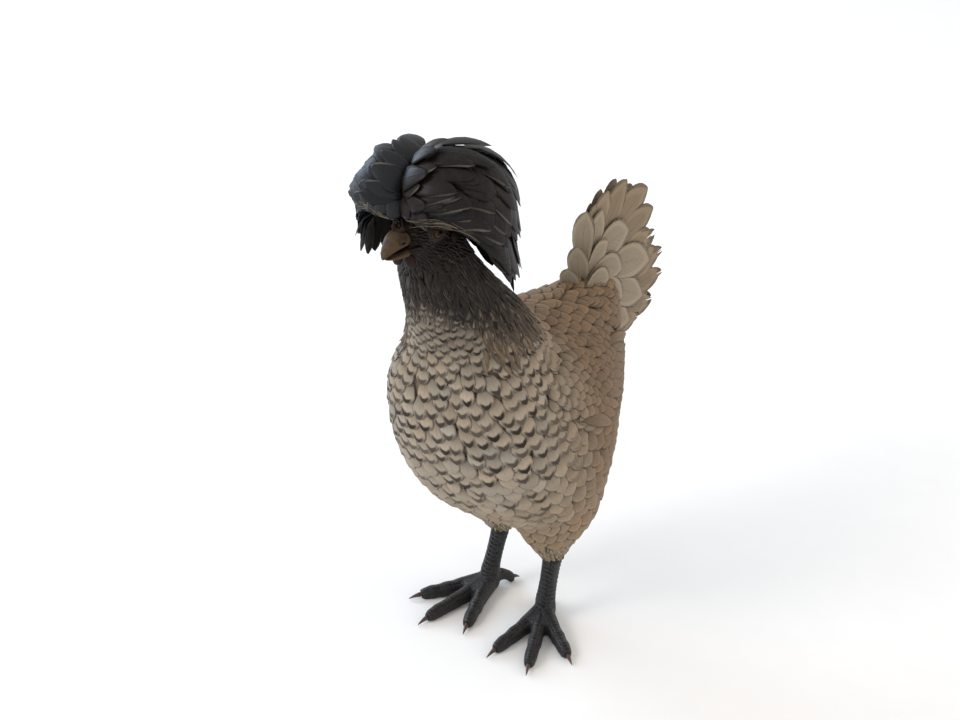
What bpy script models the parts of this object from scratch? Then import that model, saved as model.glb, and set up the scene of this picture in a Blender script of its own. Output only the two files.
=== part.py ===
"""A polish crested hen, life size, standing still on both feet with its head up.

Metres, +Z up. The hen faces -Y and its left side is at +X. The origin is on the floor, under the middle of
the hen's bounding box. Lengths in the tables below are in millimetres, and angles in degrees.
"""

import math
import random

import bmesh
import bpy
from mathutils import Matrix, Vector
from mathutils.bvhtree import BVHTree

MM = 0.001
GAP = 0.3 * MM
WELD = 0.002 * MM
LEVEL = math.radians(1)
X = Vector((1, 0, 0))
Y = Vector((0, 1, 0))
Z = Vector((0, 0, 1))

# Torso: along Y, the top and the underside of the body, its half width, and how full it is low down
TORSO = (
    (-100, 230, 192, 18, 2.0),
    (-96, 245, 172, 34, 2.1),
    (-84, 256, 143, 48, 2.35),
    (-66, 258, 115, 58, 2.6),
    (-40, 251, 91, 65, 2.9),
    (-10, 241, 77, 67, 3.05),
    (20, 232, 74, 62, 2.8),
    (48, 227, 82, 51, 2.4),
    (72, 224, 100, 38, 2.2),
    (95, 222, 128, 26, 2.1),
    (112, 217, 158, 15, 2.0),
    (121, 208, 180, 8, 2.0),
)
# Neck: centre in Y and Z, lean of its axis from upright, half width and half depth
NECK = (
    (-50, 222, 28, 48, 42),
    (-62, 241, 30, 42, 38),
    (-71, 256, 32, 36, 34),
    (-80, 271, 34, 30, 30),
    (-89, 286, 34, 26.5, 27),
    (-97, 300, 32, 24, 24.5),
    (-103, 314, 25, 21, 23),
    (-107, 326, 10, 17, 20),
)
NECK_FOOT = Vector((0, -70, 250)) * MM
NECK_FOOT_LEAN = 4
NECK_TOP = Vector((0, -104, 315)) * MM
NECK_TOP_LEAN = 26

# Head, in its own frame: the skull's centre, facing -Y
HEAD_CENTRE = Vector((0, -108, 335)) * MM
HEAD_YAW = 1
SKULL = (21, 15.5, 16)
FACE = ((-4, -1, 15, 16), (-14, -2.5, 13, 14), (-22, -3, 10.5, 11.5), (-28, -3, 8.6, 9.2))
# Beak: the level of its root, and how far its middle droops on the way to the tip. Each half has a length, a
# depth at the root that falls off to a rim, how far its inner edge draws away, and the height of its tip
BEAK_BASE = -27.5
BEAK_HALF_WIDTH = 8.0
BEAK_LEVEL = -4.0
BEAK_DROOP = 2.4
BEAK_PARTING = 0.45
BEAK_STEPS = 6
BEAK_HALVES = {
    "upper": {"up": 1, "length": 21, "depth": 9.6, "fall": 2.1, "rim": 0.6, "away": 0, "tip": -7.58},
    "lower": {"up": -1, "length": 17.64, "depth": 6.0, "fall": 1.7, "rim": 0.9, "away": 0.5, "tip": -7.22},
}
NOSTRIL = {"place": (6.2, -34.0, 0.8), "radii": (1.5, 2.0, 0.8), "turn": (-18, 0, 22)}
GAPE = {"place": (11.6, -23.2, -4.3), "radii": (2.6, 5.6, 0.55), "turn": (-5, 0, 12)}
EYE_PLACE = (12.4, -9.5, 0.2)
EYE_RADIUS = 4.4
LID = {"facing": (0.95, -0.30, 0.02), "out": 1.9, "radius": 4.3, "wide": 1.12, "tall": 0.86}
LID_SIDES = 12
LID_ROUND = 5
LID_THICK = {"upper": 1.25, "lower": 0.95}
COMB = {"place": (0, -29.6, 4.4), "radii": (3.6, 3.0, 3.0)}
COMB_HORN = {"place": (2.3, -29.4, 6.0), "radii": (2.0, 2.5, 4.2), "turn": (16, 22, 0)}
WATTLE = {"place": (4.3, -24.8, -14.2), "radii": (3.1, 4.2, 5.6), "turn": (14, -10, 0)}
EARLOBE = {"place": (16.2, 5.0, -8.0), "radii": (1.9, 3.6, 4.8), "turn": (0, -6, 8)}

# Legs: where the feathers end, the ankle, the ball of the foot, and the way the middle toe points
HEM_HEIGHT = 48
ANKLE_HEIGHT = 17
LEGS = {
    "left": {"side": 1, "hem": (25.5, 4.5), "ankle": (24.6, -2.5), "ball": (24.4, -5), "heading": 21},
    "right": {"side": -1, "hem": (-24, 18), "ankle": (-27.2, 9.5), "ball": (-27.8, 8), "heading": -14},
}
# Thigh, from the hem up: height above the hem, how far out and back from the leg, half width, half depth
THIGH = (
    (0, 0, 0, 7.8, 8.4),
    (5, -0.5, 0, 10.5, 12.5),
    (14, 0, 0, 16, 20),
    (25, 1, 0, 22.5, 30),
    (40, 3, 1, 28, 38),
    (60, 5, 3, 28, 40),
    (84, 5, 3, 20, 30),
)
# Shank: how thick it is at shares of its length, and how much deeper than wide
SHANK_RADIUS = 5.8
SHANK_SWELL = ((0.0, 1.12), (0.25, 1.0), (0.6, 0.97), (0.85, 1.02), (1.0, 1.12))
SHANK_DEEPER = 1.08
# Ankle: height, how thick, and how far it leans towards the toes
ANKLE = ((3.0, 1.15, 1.0), (9.0, 1.22, 0.6), (ANKLE_HEIGHT, 1.12, 0.0))
TOE_ROOT = 19.5
TOE_ROOT_HALF_WIDTH = 4.7
TOE_ROOT_TOP = 11.0
TOES = {
    "inner": {"turn": -29, "length": 32},
    "middle": {"turn": 0, "length": 39},
    "outer": {"turn": 29, "length": 29},
}
# A toe's half width, top and underside at shares of its length
TOE_PROFILE = (
    (0.0, TOE_ROOT_HALF_WIDTH, TOE_ROOT_TOP, 0),
    (0.18, 4.3, 9.6, 0),
    (0.36, 4.7, 9.4, 0),
    (0.56, 4.0, 8.2, 0),
    (0.74, 4.3, 8.2, 0),
    (0.92, 3.6, 7.0, 0),
    (1.0, 2.7, 6.0, 0.8),
)
# The back of the foot: distance behind the ball, half width, top and underside
HEEL = (-5.5, 5.0, 13.0, 0.6)
HALLUX_TURN = 194
HALLUX_ROOT = 9.5
HALLUX_LENGTH = 8.5
HALLUX_PROFILE = ((0.0, 3.6, 12.4, 4.6), (0.3, 3.4, 10.8, 3.0), (0.7, 3.5, 8.4, 0.0), (1.0, 2.5, 6.2, 0.6))
HALLUX_STUB = ((1.0, 3.9, 13.4, 4.6), (HALLUX_ROOT, 3.6, 12.4, 4.6))
CLAW = {"radius": 2.3, "length": 9.5, "drop": 2.6, "height": 3.4}
HIND_CLAW = {"radius": 2.0, "length": 5.5, "drop": 2.4, "height": 3.4}

# Crest: one dome of feathers on each side of the parting, in the head's frame. Each row of feathers grows from a
# hoop round the dome, from low at the face over the top and down behind
DOME_CENTRE = Vector((13, 10, 8))
DOME_RADII = Vector((38, 40, 40))
CREST_CORE = 0.62
CREST_ROWS = (
    {"out": -11, "first": 42, "last": 168, "count": 4, "length": 25, "half": 8.2},
    {"out": -9, "first": 18, "last": 188, "count": 7, "length": 38, "half": 8.0},
    {"out": 6, "first": 16, "last": 180, "count": 7, "length": 38, "half": 7.8},
    {"out": 21, "first": 14, "last": 170, "count": 6, "length": 37, "half": 7.2},
    {"out": 31, "first": 50, "last": 155, "count": 3, "length": 34, "half": 6.8},
)
# The feathers that hang below the dome round its side and back, the fringe over the beak, and one long feather
CREST_SKIRT = {"first": -42, "last": 84, "count": 6, "height": -5, "length": 34, "half": 6.8}
CREST_FRINGE = {"inner": -13, "outer": 7, "count": 3, "height": 22, "length": 28, "half": 6.8, "hang": 1.7}
CREST_LOCK = {"first": 50, "last": 50, "count": 1, "height": -8, "length": 46, "half": 5.4}
CREST_REACH = {"left": (1.02, 1.0, 1.1, 1.0), "right": (0.95, 1.0, 0.93, 1.3)}

# A feather's rings: the share of its length, of its half width, and of the crest's outer form that each reaches
FEATHER_SHARES = (0, 0.28, 0.7, 1)
CREST_BREADTH = (0.2, 0.8, 1.0, 0.2)
CREST_RISE = (0.52, 0.79, 0.935, 1.03)
CREST_SHINGLE = 12
WING_BREADTH = (0.3, 0.9, 1.0, 0.35)
TAIL_BREADTH = (0.2, 0.75, 1.0, 0.5)
FEATHER_THICK = 0.6

# Wing: along Y, the lower and upper edges of the shield that its feathers grow from
WING = (
    (-66, 208, 216),
    (-58, 198, 226),
    (-46, 188, 230),
    (-28, 177, 230),
    (-8, 168, 226),
    (14, 161, 219),
    (36, 160, 207),
    (52, 164, 196),
    (62, 168, 188),
)
WING_LIFT = 0.9
SHIELD_THICK = 1.1
# Rows of wing feathers, from the flight feathers out to the small coverts: their first and last roots and tips
# in Y and Z, the number, the half width, and how far the tips stand off the flank
WING_ROWS = (
    {"roots": ((26, 167), (40, 180)), "tips": ((80, 157), (99, 171)), "count": 4, "half": 3.7, "lift": 4.2},
    {"roots": ((-34, 184), (38, 200)), "tips": ((12, 156), (90, 181)), "count": 7, "half": 5.8, "lift": 4.9},
    {"roots": ((-48, 194), (24, 211)), "tips": ((-12, 168), (50, 196)), "count": 6, "half": 6.2, "lift": 5.2},
    {"roots": ((-57, 206), (-2, 226)), "tips": ((-34, 184), (22, 210)), "count": 5, "half": 6.2, "lift": 5.2},
    {"roots": ((-62, 215), (-22, 229)), "tips": ((-47, 198), (-2, 221)), "count": 4, "half": 5.6, "lift": 4.6},
)
WING_SHINGLE = 6.5

# Tail: where it leaves the body, and its rows of feathers from the main ones out to the small coverts. Each row
# fans in the YZ plane from its first angle, near upright, to its last, and leans out to the sides on the way
TAIL_ROOT = Vector((0, 96, 203))
TAIL_ROWS = (
    {"turns": (82, -27), "start": 14, "length": (64, 78, 87, 88, 92, 82), "half": 12.5, "in": 1.8, "out": 10},
    {"turns": (92, -14), "start": 6, "length": (56, 62, 58, 54, 52), "half": 11.5, "in": 5.2, "out": 14},
    {"turns": (97, 0), "start": -4, "length": (48, 46, 43), "half": 11.0, "in": 8.8, "out": 16},
)
TAIL_CORE = {"radii": (8, 32, 31), "from_root": Vector((0, 6, 8))}
TAIL_SHINGLE = 9

LEG_DARK = (0.022, 0.022, 0.026)
PLUMAGE = (0.30, 0.245, 0.185)
DARK_PLUMAGE = (0.030, 0.024, 0.020)
HORN = (0.10, 0.066, 0.040)
CLAW_HORN = (0.035, 0.022, 0.016)
EYE_BROWN = (0.05, 0.025, 0.01)
COMB_RED = (0.14, 0.045, 0.03)
LOBE_MAUVE = (0.10, 0.045, 0.045)


def material(name, colour, roughness):
    """One finish, made once and shared by name."""
    made = bpy.data.materials.get(name)
    if made is None:
        made = bpy.data.materials.new(name)
        made.use_nodes = True
        shader = made.node_tree.nodes["Principled BSDF"]
        shader.inputs["Base Color"].default_value = (*colour, 1.0)
        shader.inputs["Roughness"].default_value = roughness
        shader.inputs["Metallic"].default_value = 0.0
    return made


def clear_scene():
    for old in list(bpy.data.objects):
        bpy.data.objects.remove(old)


def object_from(bm, name, finish=None):
    """Closes a bmesh into an object whose faces are triangles that point outwards."""
    bmesh.ops.recalc_face_normals(bm, faces=bm.faces[:])
    bmesh.ops.triangulate(bm, faces=bm.faces[:])
    mesh = bpy.data.meshes.new(name)
    bm.to_mesh(mesh)
    bm.free()
    mesh.shade_smooth()
    made = bpy.data.objects.new(name, mesh)
    bpy.context.scene.collection.objects.link(made)
    if finish:
        mesh.materials.append(finish)
    return made


def bake_modifiers(obj):
    """Replaces an object's mesh by what its modifiers make of it."""
    graph = bpy.context.evaluated_depsgraph_get()
    mesh = bpy.data.meshes.new_from_object(obj.evaluated_get(graph))
    obj.modifiers.clear()
    obj.data = mesh
    return obj


def largest_body(obj):
    """Keeps only the largest closed surface of a mesh, with no more triangles than its form needs."""
    bm = bmesh.new()
    bm.from_mesh(obj.data)
    bmesh.ops.remove_doubles(bm, verts=bm.verts[:], dist=WELD)
    bmesh.ops.triangulate(bm, faces=bm.faces[:])
    left = set(bm.faces)
    bodies = []
    while left:
        stack = [left.pop()]
        body = []
        while stack:
            face = stack.pop()
            body.append(face)
            for edge in face.edges:
                for other in edge.link_faces if len(edge.link_faces) == 2 else ():
                    if other in left:
                        left.remove(other)
                        stack.append(other)
        bodies.append(body)
    bodies.sort(key=lambda faces: sum(f.calc_area() for f in faces))
    scraps = [face for body in bodies[:-1] for face in body]
    bmesh.ops.delete(bm, geom=scraps, context="FACES")
    bmesh.ops.dissolve_limit(bm, angle_limit=LEVEL, verts=bm.verts[:], edges=bm.edges[:])
    bmesh.ops.triangulate(bm, faces=bm.faces[:])
    bm.to_mesh(obj.data)
    bm.free()
    return obj


def combine(obj, others, operation, solver="EXACT"):
    """One Boolean of an object with a collection of others, which are then removed."""
    group = bpy.data.collections.new("operands")
    bpy.context.scene.collection.children.link(group)
    for other in others:
        for home in list(other.users_collection):
            home.objects.unlink(other)
        group.objects.link(other)
    boolean = obj.modifiers.new("combine", "BOOLEAN")
    boolean.operation = operation
    boolean.solver = solver
    boolean.operand_type = "COLLECTION"
    boolean.collection = group
    bake_modifiers(obj)
    for other in others:
        bpy.data.objects.remove(other)
    bpy.data.collections.remove(group)
    return largest_body(obj)


def swollen(obj, by=GAP):
    """A copy of an object with every point moved out by a small distance."""
    bm = bmesh.new()
    bm.from_mesh(obj.data)
    bm.normal_update()
    moved = [(v, v.co + v.normal * by * 1.15) for v in bm.verts]
    for v, place in moved:
        v.co = place
    return object_from(bm, obj.name + "_cutter")


def cut_clear(obj, neighbours, solver="MANIFOLD"):
    """Trims an object so that it meets its neighbours face to face, a gap away."""
    for neighbour in neighbours:
        combine(obj, [swollen(neighbour)], "DIFFERENCE", solver)
    return obj


def ring_points(centre, across, up, half_width, half_height, sides, flat=0.0):
    """An ellipse of points about a centre; flat squares it off a little."""
    points = []
    for i in range(sides):
        turn = 2 * math.pi * i / sides
        c, s = math.cos(turn), math.sin(turn)
        square = 1 + flat * (abs(c * s) * 2) ** 2
        points.append(centre + across * (c * half_width * square) + up * (s * half_height * square))
    return points


def skin_rings(bm, rings, close_ends=True):
    """Bridges rings of equal count into a closed tube. A ring of one point is a tip."""
    made = [[bm.verts.new(p) for p in ring] for ring in rings]
    for one, two in zip(made, made[1:]):
        count = max(len(one), len(two))
        for i in range(count):
            j = (i + 1) % count
            if len(one) == 1:
                bm.faces.new((one[0], two[j], two[i]))
            elif len(two) == 1:
                bm.faces.new((one[i], one[j], two[0]))
            else:
                bm.faces.new((one[i], one[j], two[j], two[i]))
    for ring in (made[0], made[-1]):
        if close_ends and len(ring) > 2:
            bm.faces.new(ring)


def smooth_between(rows, steps):
    """Rows of numbers read at even steps from a smooth curve through them."""
    found = []
    for i in range(len(rows) - 1):
        before = rows[max(i - 1, 0)]
        after = rows[min(i + 2, len(rows) - 1)]
        for k in range(steps):
            t = k / steps
            row = []
            for a, b, c, d in zip(before, rows[i], rows[i + 1], after):
                row.append(b + 0.5 * t * (c - a + t * (2 * a - 5 * b + 4 * c - d + t * (3 * (b - c) + d - a))))
            found.append(row)
    found.append(list(rows[-1]))
    return found


def torso_form():
    bm = bmesh.new()
    rings = []
    for y, top, bottom, half, fullness in smooth_between(TORSO, 2):
        ring = []
        for i in range(36):
            turn = 2 * math.pi * i / 36
            c, s = math.cos(turn), math.sin(turn)
            power = 2 / (fullness if s < 0 else 1.85)
            x = math.copysign(abs(c) ** power, c) * half
            z = (top + bottom) / 2 + math.copysign(abs(s) ** power, s) * (top - bottom) / 2
            ring.append(Vector((x, y, z)) * MM)
        rings.append(ring)
    skin_rings(bm, rings)
    return object_from(bm, "torso_form")


def neck_form():
    bm = bmesh.new()
    rings = []
    for y, z, lean, half_width, half_depth in smooth_between(NECK, 2):
        lean = math.radians(lean)
        depth = Vector((0, math.cos(lean), math.sin(lean)))
        rings.append(ring_points(Vector((0, y, z)) * MM, X, depth, half_width * MM, half_depth * MM, 32))
    skin_rings(bm, rings)
    return object_from(bm, "neck_form")


def head_frame():
    return Matrix.Translation(HEAD_CENTRE) @ Matrix.Rotation(math.radians(HEAD_YAW), 4, "Z")


def head_form():
    """The skull and the face as far as the root of the beak."""
    length, width, height = SKULL
    bm = bmesh.new()
    bmesh.ops.create_uvsphere(bm, u_segments=28, v_segments=18, radius=MM)
    bmesh.ops.scale(bm, vec=(width, length, height), verts=bm.verts[:])
    skull = object_from(bm, "skull_form")
    bm = bmesh.new()
    rings = []
    for y, z, half_width, half_height in FACE:
        rings.append(ring_points(Vector((0, y, z)) * MM, X, Z, half_width * MM, half_height * MM, 24))
    skin_rings(bm, rings)
    face = object_from(bm, "face_form")
    for piece in (skull, face):
        piece.data.transform(head_frame())
    return [skull, face]


def flesh():
    """Torso, neck and head as one smooth closed skin."""
    whole = torso_form()
    combine(whole, [neck_form(), *head_form()], "UNION", "MANIFOLD")
    remesh = whole.modifiers.new("even", "REMESH")
    remesh.mode = "VOXEL"
    remesh.voxel_size = 2.2 * MM
    smooth = whole.modifiers.new("soften", "SMOOTH")
    smooth.factor = 0.6
    smooth.iterations = 12
    return bake_modifiers(whole)


def keep_inside(bm, point, normal):
    """Cuts off what lies beyond a plane and closes the cut."""
    geometry = bm.verts[:] + bm.edges[:] + bm.faces[:]
    cut = bmesh.ops.bisect_plane(bm, geom=geometry, dist=1e-7, plane_co=point, plane_no=normal, clear_outer=True)
    rim = [e for e in cut["geom_cut"] if isinstance(e, bmesh.types.BMEdge)]
    bmesh.ops.edgeloop_fill(bm, edges=rim)


def slab(obj, name, planes, triangles, finish):
    """The part of a mesh on the inner side of each plane, closed flat and thinned to a number of triangles."""
    bm = bmesh.new()
    bm.from_mesh(obj.data)
    for point, normal in planes:
        keep_inside(bm, point, normal)
    made = object_from(bm, name, finish)
    thin = made.modifiers.new("thin", "DECIMATE")
    thin.ratio = triangles / len(made.data.polygons)
    return bake_modifiers(made)


def leaning(degrees):
    """A direction up the neck, leaning forward by an angle."""
    lean = math.radians(degrees)
    return Vector((0, -math.sin(lean), math.cos(lean)))


def body_nodes():
    """The torso, neck and head, parted by thin cuts."""
    whole = flesh()
    pale = material("pale_plumage", PLUMAGE, 0.75)
    dark = material("dark_plumage", DARK_PLUMAGE, 0.6)
    low, high = leaning(NECK_FOOT_LEAN), leaning(NECK_TOP_LEAN)
    half = GAP / 2
    torso = slab(whole, "torso", [(NECK_FOOT - low * half, low)], 1150, pale)
    neck = slab(whole, "neck", [(NECK_FOOT + low * half, -low), (NECK_TOP - high * half, high)], 460, pale)
    head = slab(whole, "head", [(NECK_TOP + high * half, -high)], 460, dark)
    skin = BVHTree.FromPolygons([v.co for v in whole.data.vertices], [p.vertices for p in whole.data.polygons])
    bpy.data.objects.remove(whole)
    return torso, neck, head, skin


def plate(path, facing, half_widths):
    """One closed feather: a thin plate along a path in millimetres, its two faces split into triangles alike."""
    bm = bmesh.new()
    rows = []
    last = len(path) - 1
    for i, (place, normal, half) in enumerate(zip(path, facing, half_widths)):
        ahead = (path[min(i + 1, last)] - path[max(i - 1, 0)]).normalized()
        across = ahead.cross(normal).normalized()
        up = across.cross(ahead) * (FEATHER_THICK / 2)
        corners = ((-half, 1), (half, 1), (half, -1), (-half, -1))
        rows.append([bm.verts.new((place + across * x + up * z) * MM) for x, z in corners])
    for one, two in zip(rows, rows[1:]):
        bm.faces.new((one[0], one[1], two[1]))
        bm.faces.new((one[0], two[1], two[0]))
        bm.faces.new((one[3], two[2], one[2]))
        bm.faces.new((one[3], two[3], two[2]))
        bm.faces.new((one[1], one[2], two[2], two[1]))
        bm.faces.new((one[3], one[0], two[0], two[3]))
    bm.faces.new(rows[0])
    bm.faces.new(rows[-1])
    return object_from(bm, "vane")


def rolled(normal, ahead, degrees):
    """A feather's facing direction, rolled about its length so that one edge lies over its neighbour."""
    return Matrix.Rotation(math.radians(degrees), 3, ahead) @ normal


def feathered(core, vanes, neighbours):
    """Joins feathers to their core and keeps them clear of what lies next to them."""
    combine(core, vanes, "UNION", "MANIFOLD")
    return cut_clear(core, neighbours)


def spread(first, last, count):
    """Evenly spaced values from a first to a last."""
    return [first + (last - first) * i / max(count - 1, 1) for i in range(count)]


def on_dome(place, rise=1.0):
    """A point moved out or in to the crest's outer form: domed above its centre, hanging straight below."""
    over = max(place.z, 0)
    size = Vector((place.x / DOME_RADII.x, place.y / DOME_RADII.y, over / DOME_RADII.z)).length
    height = place.z * rise / size if place.z > 0 else place.z
    return Vector((place.x * rise / size, place.y * rise / size, height))


def dome_facing(place):
    over = max(place.z, 0)
    return Vector((place.x / DOME_RADII.x**2, place.y / DOME_RADII.y**2, over / DOME_RADII.z**2)).normalized()


def crest_flow(place, side, hang):
    """The way the crest lies: out from the parting, level over the face, then back and down."""
    behind = place.y / DOME_RADII.y
    t = min(max((behind + 0.95) / 1.05, 0), 1)
    droop = t * t * (3 - 2 * t) * (2.1 - 1.2 * max(place.z, 0) / DOME_RADII.z)
    way = Vector((side * (1 - 0.6 * max(behind, 0)), 0.55, -0.04 - droop - hang))
    normal = dome_facing(place)
    return (way - normal * way.dot(normal)).normalized()


def crest_feather(side, reach, seed, row, rng):
    """One feather that follows the crest's lie from its root in the core to its tip at the outer form."""
    steps = 12
    stride = row["length"] * rng.uniform(0.92, 1.08) / steps
    rise = rng.uniform(0.99, 1.01)
    track = [on_dome(seed)]
    for _ in range(steps):
        flow = crest_flow(track[-1], side, row.get("hang", 0))
        track.append(on_dome(track[-1] + flow * stride))
    centre = Vector((side * DOME_CENTRE.x, DOME_CENTRE.y, DOME_CENTRE.z))
    path, facing = [], []
    for share, height in zip(FEATHER_SHARES, CREST_RISE):
        k = round(share * steps)
        ahead = track[min(k + 1, steps)] - track[max(k - 1, 0)]
        place = on_dome(track[k], height * rise)
        wide, deep, tall, low = reach
        path.append(centre + Vector((place.x * wide, place.y * deep, place.z * (tall if place.z > 0 else low))))
        facing.append(rolled(dome_facing(track[k]), ahead, -CREST_SHINGLE * side))
    return plate(path, facing, [row["half"] * share for share in CREST_BREADTH])


def crest_seeds(side):
    """Where each of a half's feathers grows on the outer form, about the dome's centre, with its row."""
    for row in CREST_ROWS:
        hoop = math.sqrt(1 - (row["out"] / DOME_RADII.x) ** 2)
        for turn in spread(row["first"], row["last"], row["count"]):
            turn = math.radians(turn)
            y = -DOME_RADII.y * hoop * math.cos(turn)
            yield Vector((side * row["out"], y, DOME_RADII.z * hoop * math.sin(turn))), row
    for row in (CREST_SKIRT, CREST_LOCK) if side > 0 else (CREST_SKIRT,):
        for turn in spread(row["first"], row["last"], row["count"]):
            turn = math.radians(turn)
            yield Vector((side * DOME_RADII.x * math.cos(turn), DOME_RADII.y * math.sin(turn), row["height"])), row
    row = CREST_FRINGE
    for out in spread(row["inner"], row["outer"], row["count"]):
        front = math.sqrt(1 - (out / DOME_RADII.x) ** 2 - (row["height"] / DOME_RADII.z) ** 2)
        yield Vector((side * out, -DOME_RADII.y * front, row["height"])), row


def other_side(side):
    """A block that fills the far side of the head's middle plane."""
    bm = bmesh.new()
    bmesh.ops.create_cube(bm, size=0.2)
    bmesh.ops.translate(bm, vec=(side * (GAP / 2 - 0.1), 0, 0), verts=bm.verts[:])
    made = object_from(bm, "other_side")
    made.data.transform(head_frame())
    return made


def crest(neighbours):
    """The crest, feather by feather, in two halves that part over the middle of the head."""
    for name, side in (("left", 1), ("right", -1)):
        rng = random.Random(name)
        vanes = [crest_feather(side, CREST_REACH[name], seed, row, rng) for seed, row in crest_seeds(side)]
        for vane in vanes:
            vane.data.transform(head_frame())
        centre = (side * DOME_CENTRE.x, DOME_CENTRE.y, DOME_CENTRE.z)
        finish = material("crest_plumage", DARK_PLUMAGE, 0.5)
        half = ball("crest_" + name, centre, DOME_RADII * CREST_CORE, 10, 7, finish)
        combine(half, vanes, "UNION", "MANIFOLD")
        combine(half, [other_side(side)], "DIFFERENCE", "MANIFOLD")
        cut_clear(half, neighbours)


def beak_rings(shape, sides=8):
    """Rings of one half of the beak from its root to its tip, in the head's frame."""
    rings = []
    for i in range(BEAK_STEPS):
        t = i / BEAK_STEPS
        y = BEAK_BASE - GAP / MM - shape["length"] * t
        width = BEAK_HALF_WIDTH * (1 - t**1.6) ** 0.75
        level = BEAK_LEVEL - BEAK_DROOP * t**2.2
        outer = shape["depth"] * (1 - t ** shape["fall"]) + shape["rim"]
        inner = BEAK_PARTING + shape["away"] * t
        centre = Vector((0, y, level + shape["up"] * (outer + inner) / 2)) * MM
        rings.append(ring_points(centre, X, Z, width * MM, (outer - inner) / 2 * MM, sides, 0.12))
    rings.append([Vector((0, BEAK_BASE - shape["length"], shape["tip"])) * MM])
    return rings


def beak(head):
    finish = material("horn", HORN, 0.4)
    halves = []
    for name, shape in BEAK_HALVES.items():
        bm = bmesh.new()
        skin_rings(bm, beak_rings(shape))
        half = object_from(bm, "beak_" + name, finish)
        half.data.transform(head_frame())
        if name == "upper":
            for side in (1, -1):
                combine(half, [lobe("nostril_form", NOSTRIL, side, 8, 5)], "DIFFERENCE")
        halves.append(cut_clear(half, [head]))
    return halves


def ball(name, centre, radii, segments=14, rings=9, finish=None, turn=(0, 0, 0)):
    """An ellipsoid in the head's frame."""
    bm = bmesh.new()
    bmesh.ops.create_uvsphere(bm, u_segments=segments, v_segments=rings, radius=MM)
    bmesh.ops.scale(bm, vec=radii, verts=bm.verts[:])
    for axis, degrees in zip("XYZ", turn):
        bmesh.ops.rotate(bm, matrix=Matrix.Rotation(math.radians(degrees), 3, axis), verts=bm.verts[:])
    bmesh.ops.translate(bm, vec=Vector(centre) * MM, verts=bm.verts[:])
    made = object_from(bm, name, finish)
    made.data.transform(head_frame())
    return made


def lobe(name, shape, side, segments, rings, finish=None):
    """An ellipsoid on one side of the head, mirrored from its shape for the left."""
    x, y, z = shape["place"]
    pitch, roll, yaw = shape["turn"]
    return ball(name, (side * x, y, z), shape["radii"], segments, rings, finish, (pitch, side * roll, side * yaw))


def lid(side):
    """The raised rim round one eye, an oval ring that faces out and forward."""
    x, y, z = LID["facing"]
    facing = Vector((side * x, y, z)).normalized()
    along = Z.cross(facing).normalized()
    upward = facing.cross(along)
    x, y, z = EYE_PLACE
    centre = Vector((side * x, y, z)) * MM + facing * LID["out"] * MM
    bm = bmesh.new()
    loops = []
    for i in range(LID_SIDES):
        turn = 2 * math.pi * i / LID_SIDES
        outward = along * (math.cos(turn) * LID["wide"]) + upward * (math.sin(turn) * LID["tall"])
        middle = centre + outward * LID["radius"] * MM
        thick = LID_THICK["upper"] if math.sin(turn) > 0 else LID_THICK["lower"]
        loop = []
        for k in range(LID_ROUND):
            roll = 2 * math.pi * k / LID_ROUND
            away = outward * math.cos(roll) + facing * math.sin(roll)
            loop.append(bm.verts.new(middle + away * thick * MM))
        loops.append(loop)
    for i, one in enumerate(loops):
        two = loops[(i + 1) % len(loops)]
        for k in range(len(one)):
            n = (k + 1) % len(one)
            bm.faces.new((one[k], one[n], two[n], two[k]))
    made = object_from(bm, "lid")
    made.data.transform(head_frame())
    return made


def eyes(head):
    """Eyeballs, each behind its lids in a socket of the head, and the line of the mouth behind the beak."""
    finish = material("eye", EYE_BROWN, 0.08)
    combine(head, [lid(1), lid(-1)], "UNION")
    x, y, z = EYE_PLACE
    balls = []
    for name, side in (("left", 1), ("right", -1)):
        eye = ball("eye_" + name, (side * x, y, z), [EYE_RADIUS] * 3, 12, 7, finish)
        combine(head, [swollen(eye)], "DIFFERENCE")
        combine(head, [lobe("gape_form", GAPE, side, 8, 5)], "DIFFERENCE")
        balls.append(eye)
    return balls


def face_parts(neighbours):
    """The comb over the beak, the wattles below it and the lobes behind the eyes."""
    finish = material("lobe_skin", LOBE_MAUVE, 0.5)
    horns = [lobe(f"horn_form_{side}", COMB_HORN, side, 7, 5) for side in (1, -1)]
    comb = ball("comb", COMB["place"], COMB["radii"], 8, 6, material("comb_skin", COMB_RED, 0.5))
    combine(comb, horns, "UNION")
    made = [cut_clear(comb, neighbours)]
    for name, side in (("left", 1), ("right", -1)):
        made.append(cut_clear(lobe("wattle_" + name, WATTLE, side, 9, 7, finish), neighbours))
        made.append(cut_clear(lobe("earlobe_" + name, EARLOBE, side, 9, 6, finish), neighbours))
    return made


def thigh(side, leg, torso):
    """The feathered drumstick, from inside the flank down to where the bare shank shows."""
    x, y = leg["hem"]
    bm = bmesh.new()
    rings = []
    for above, out, back, half_width, half_depth in THIGH:
        centre = Vector((x + out * leg["side"], y + back, HEM_HEIGHT + above)) * MM
        rings.append(ring_points(centre, X, Y, half_width * MM, half_depth * MM, 14))
    skin_rings(bm, rings)
    made = object_from(bm, "thigh_" + side, material("pale_plumage", PLUMAGE, 0.75))
    return cut_clear(made, [torso])


def shank_ring(centre, swell):
    radius = SHANK_RADIUS * swell * MM
    return ring_points(centre * MM, X, Y, radius, radius * SHANK_DEEPER, 12)


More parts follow.
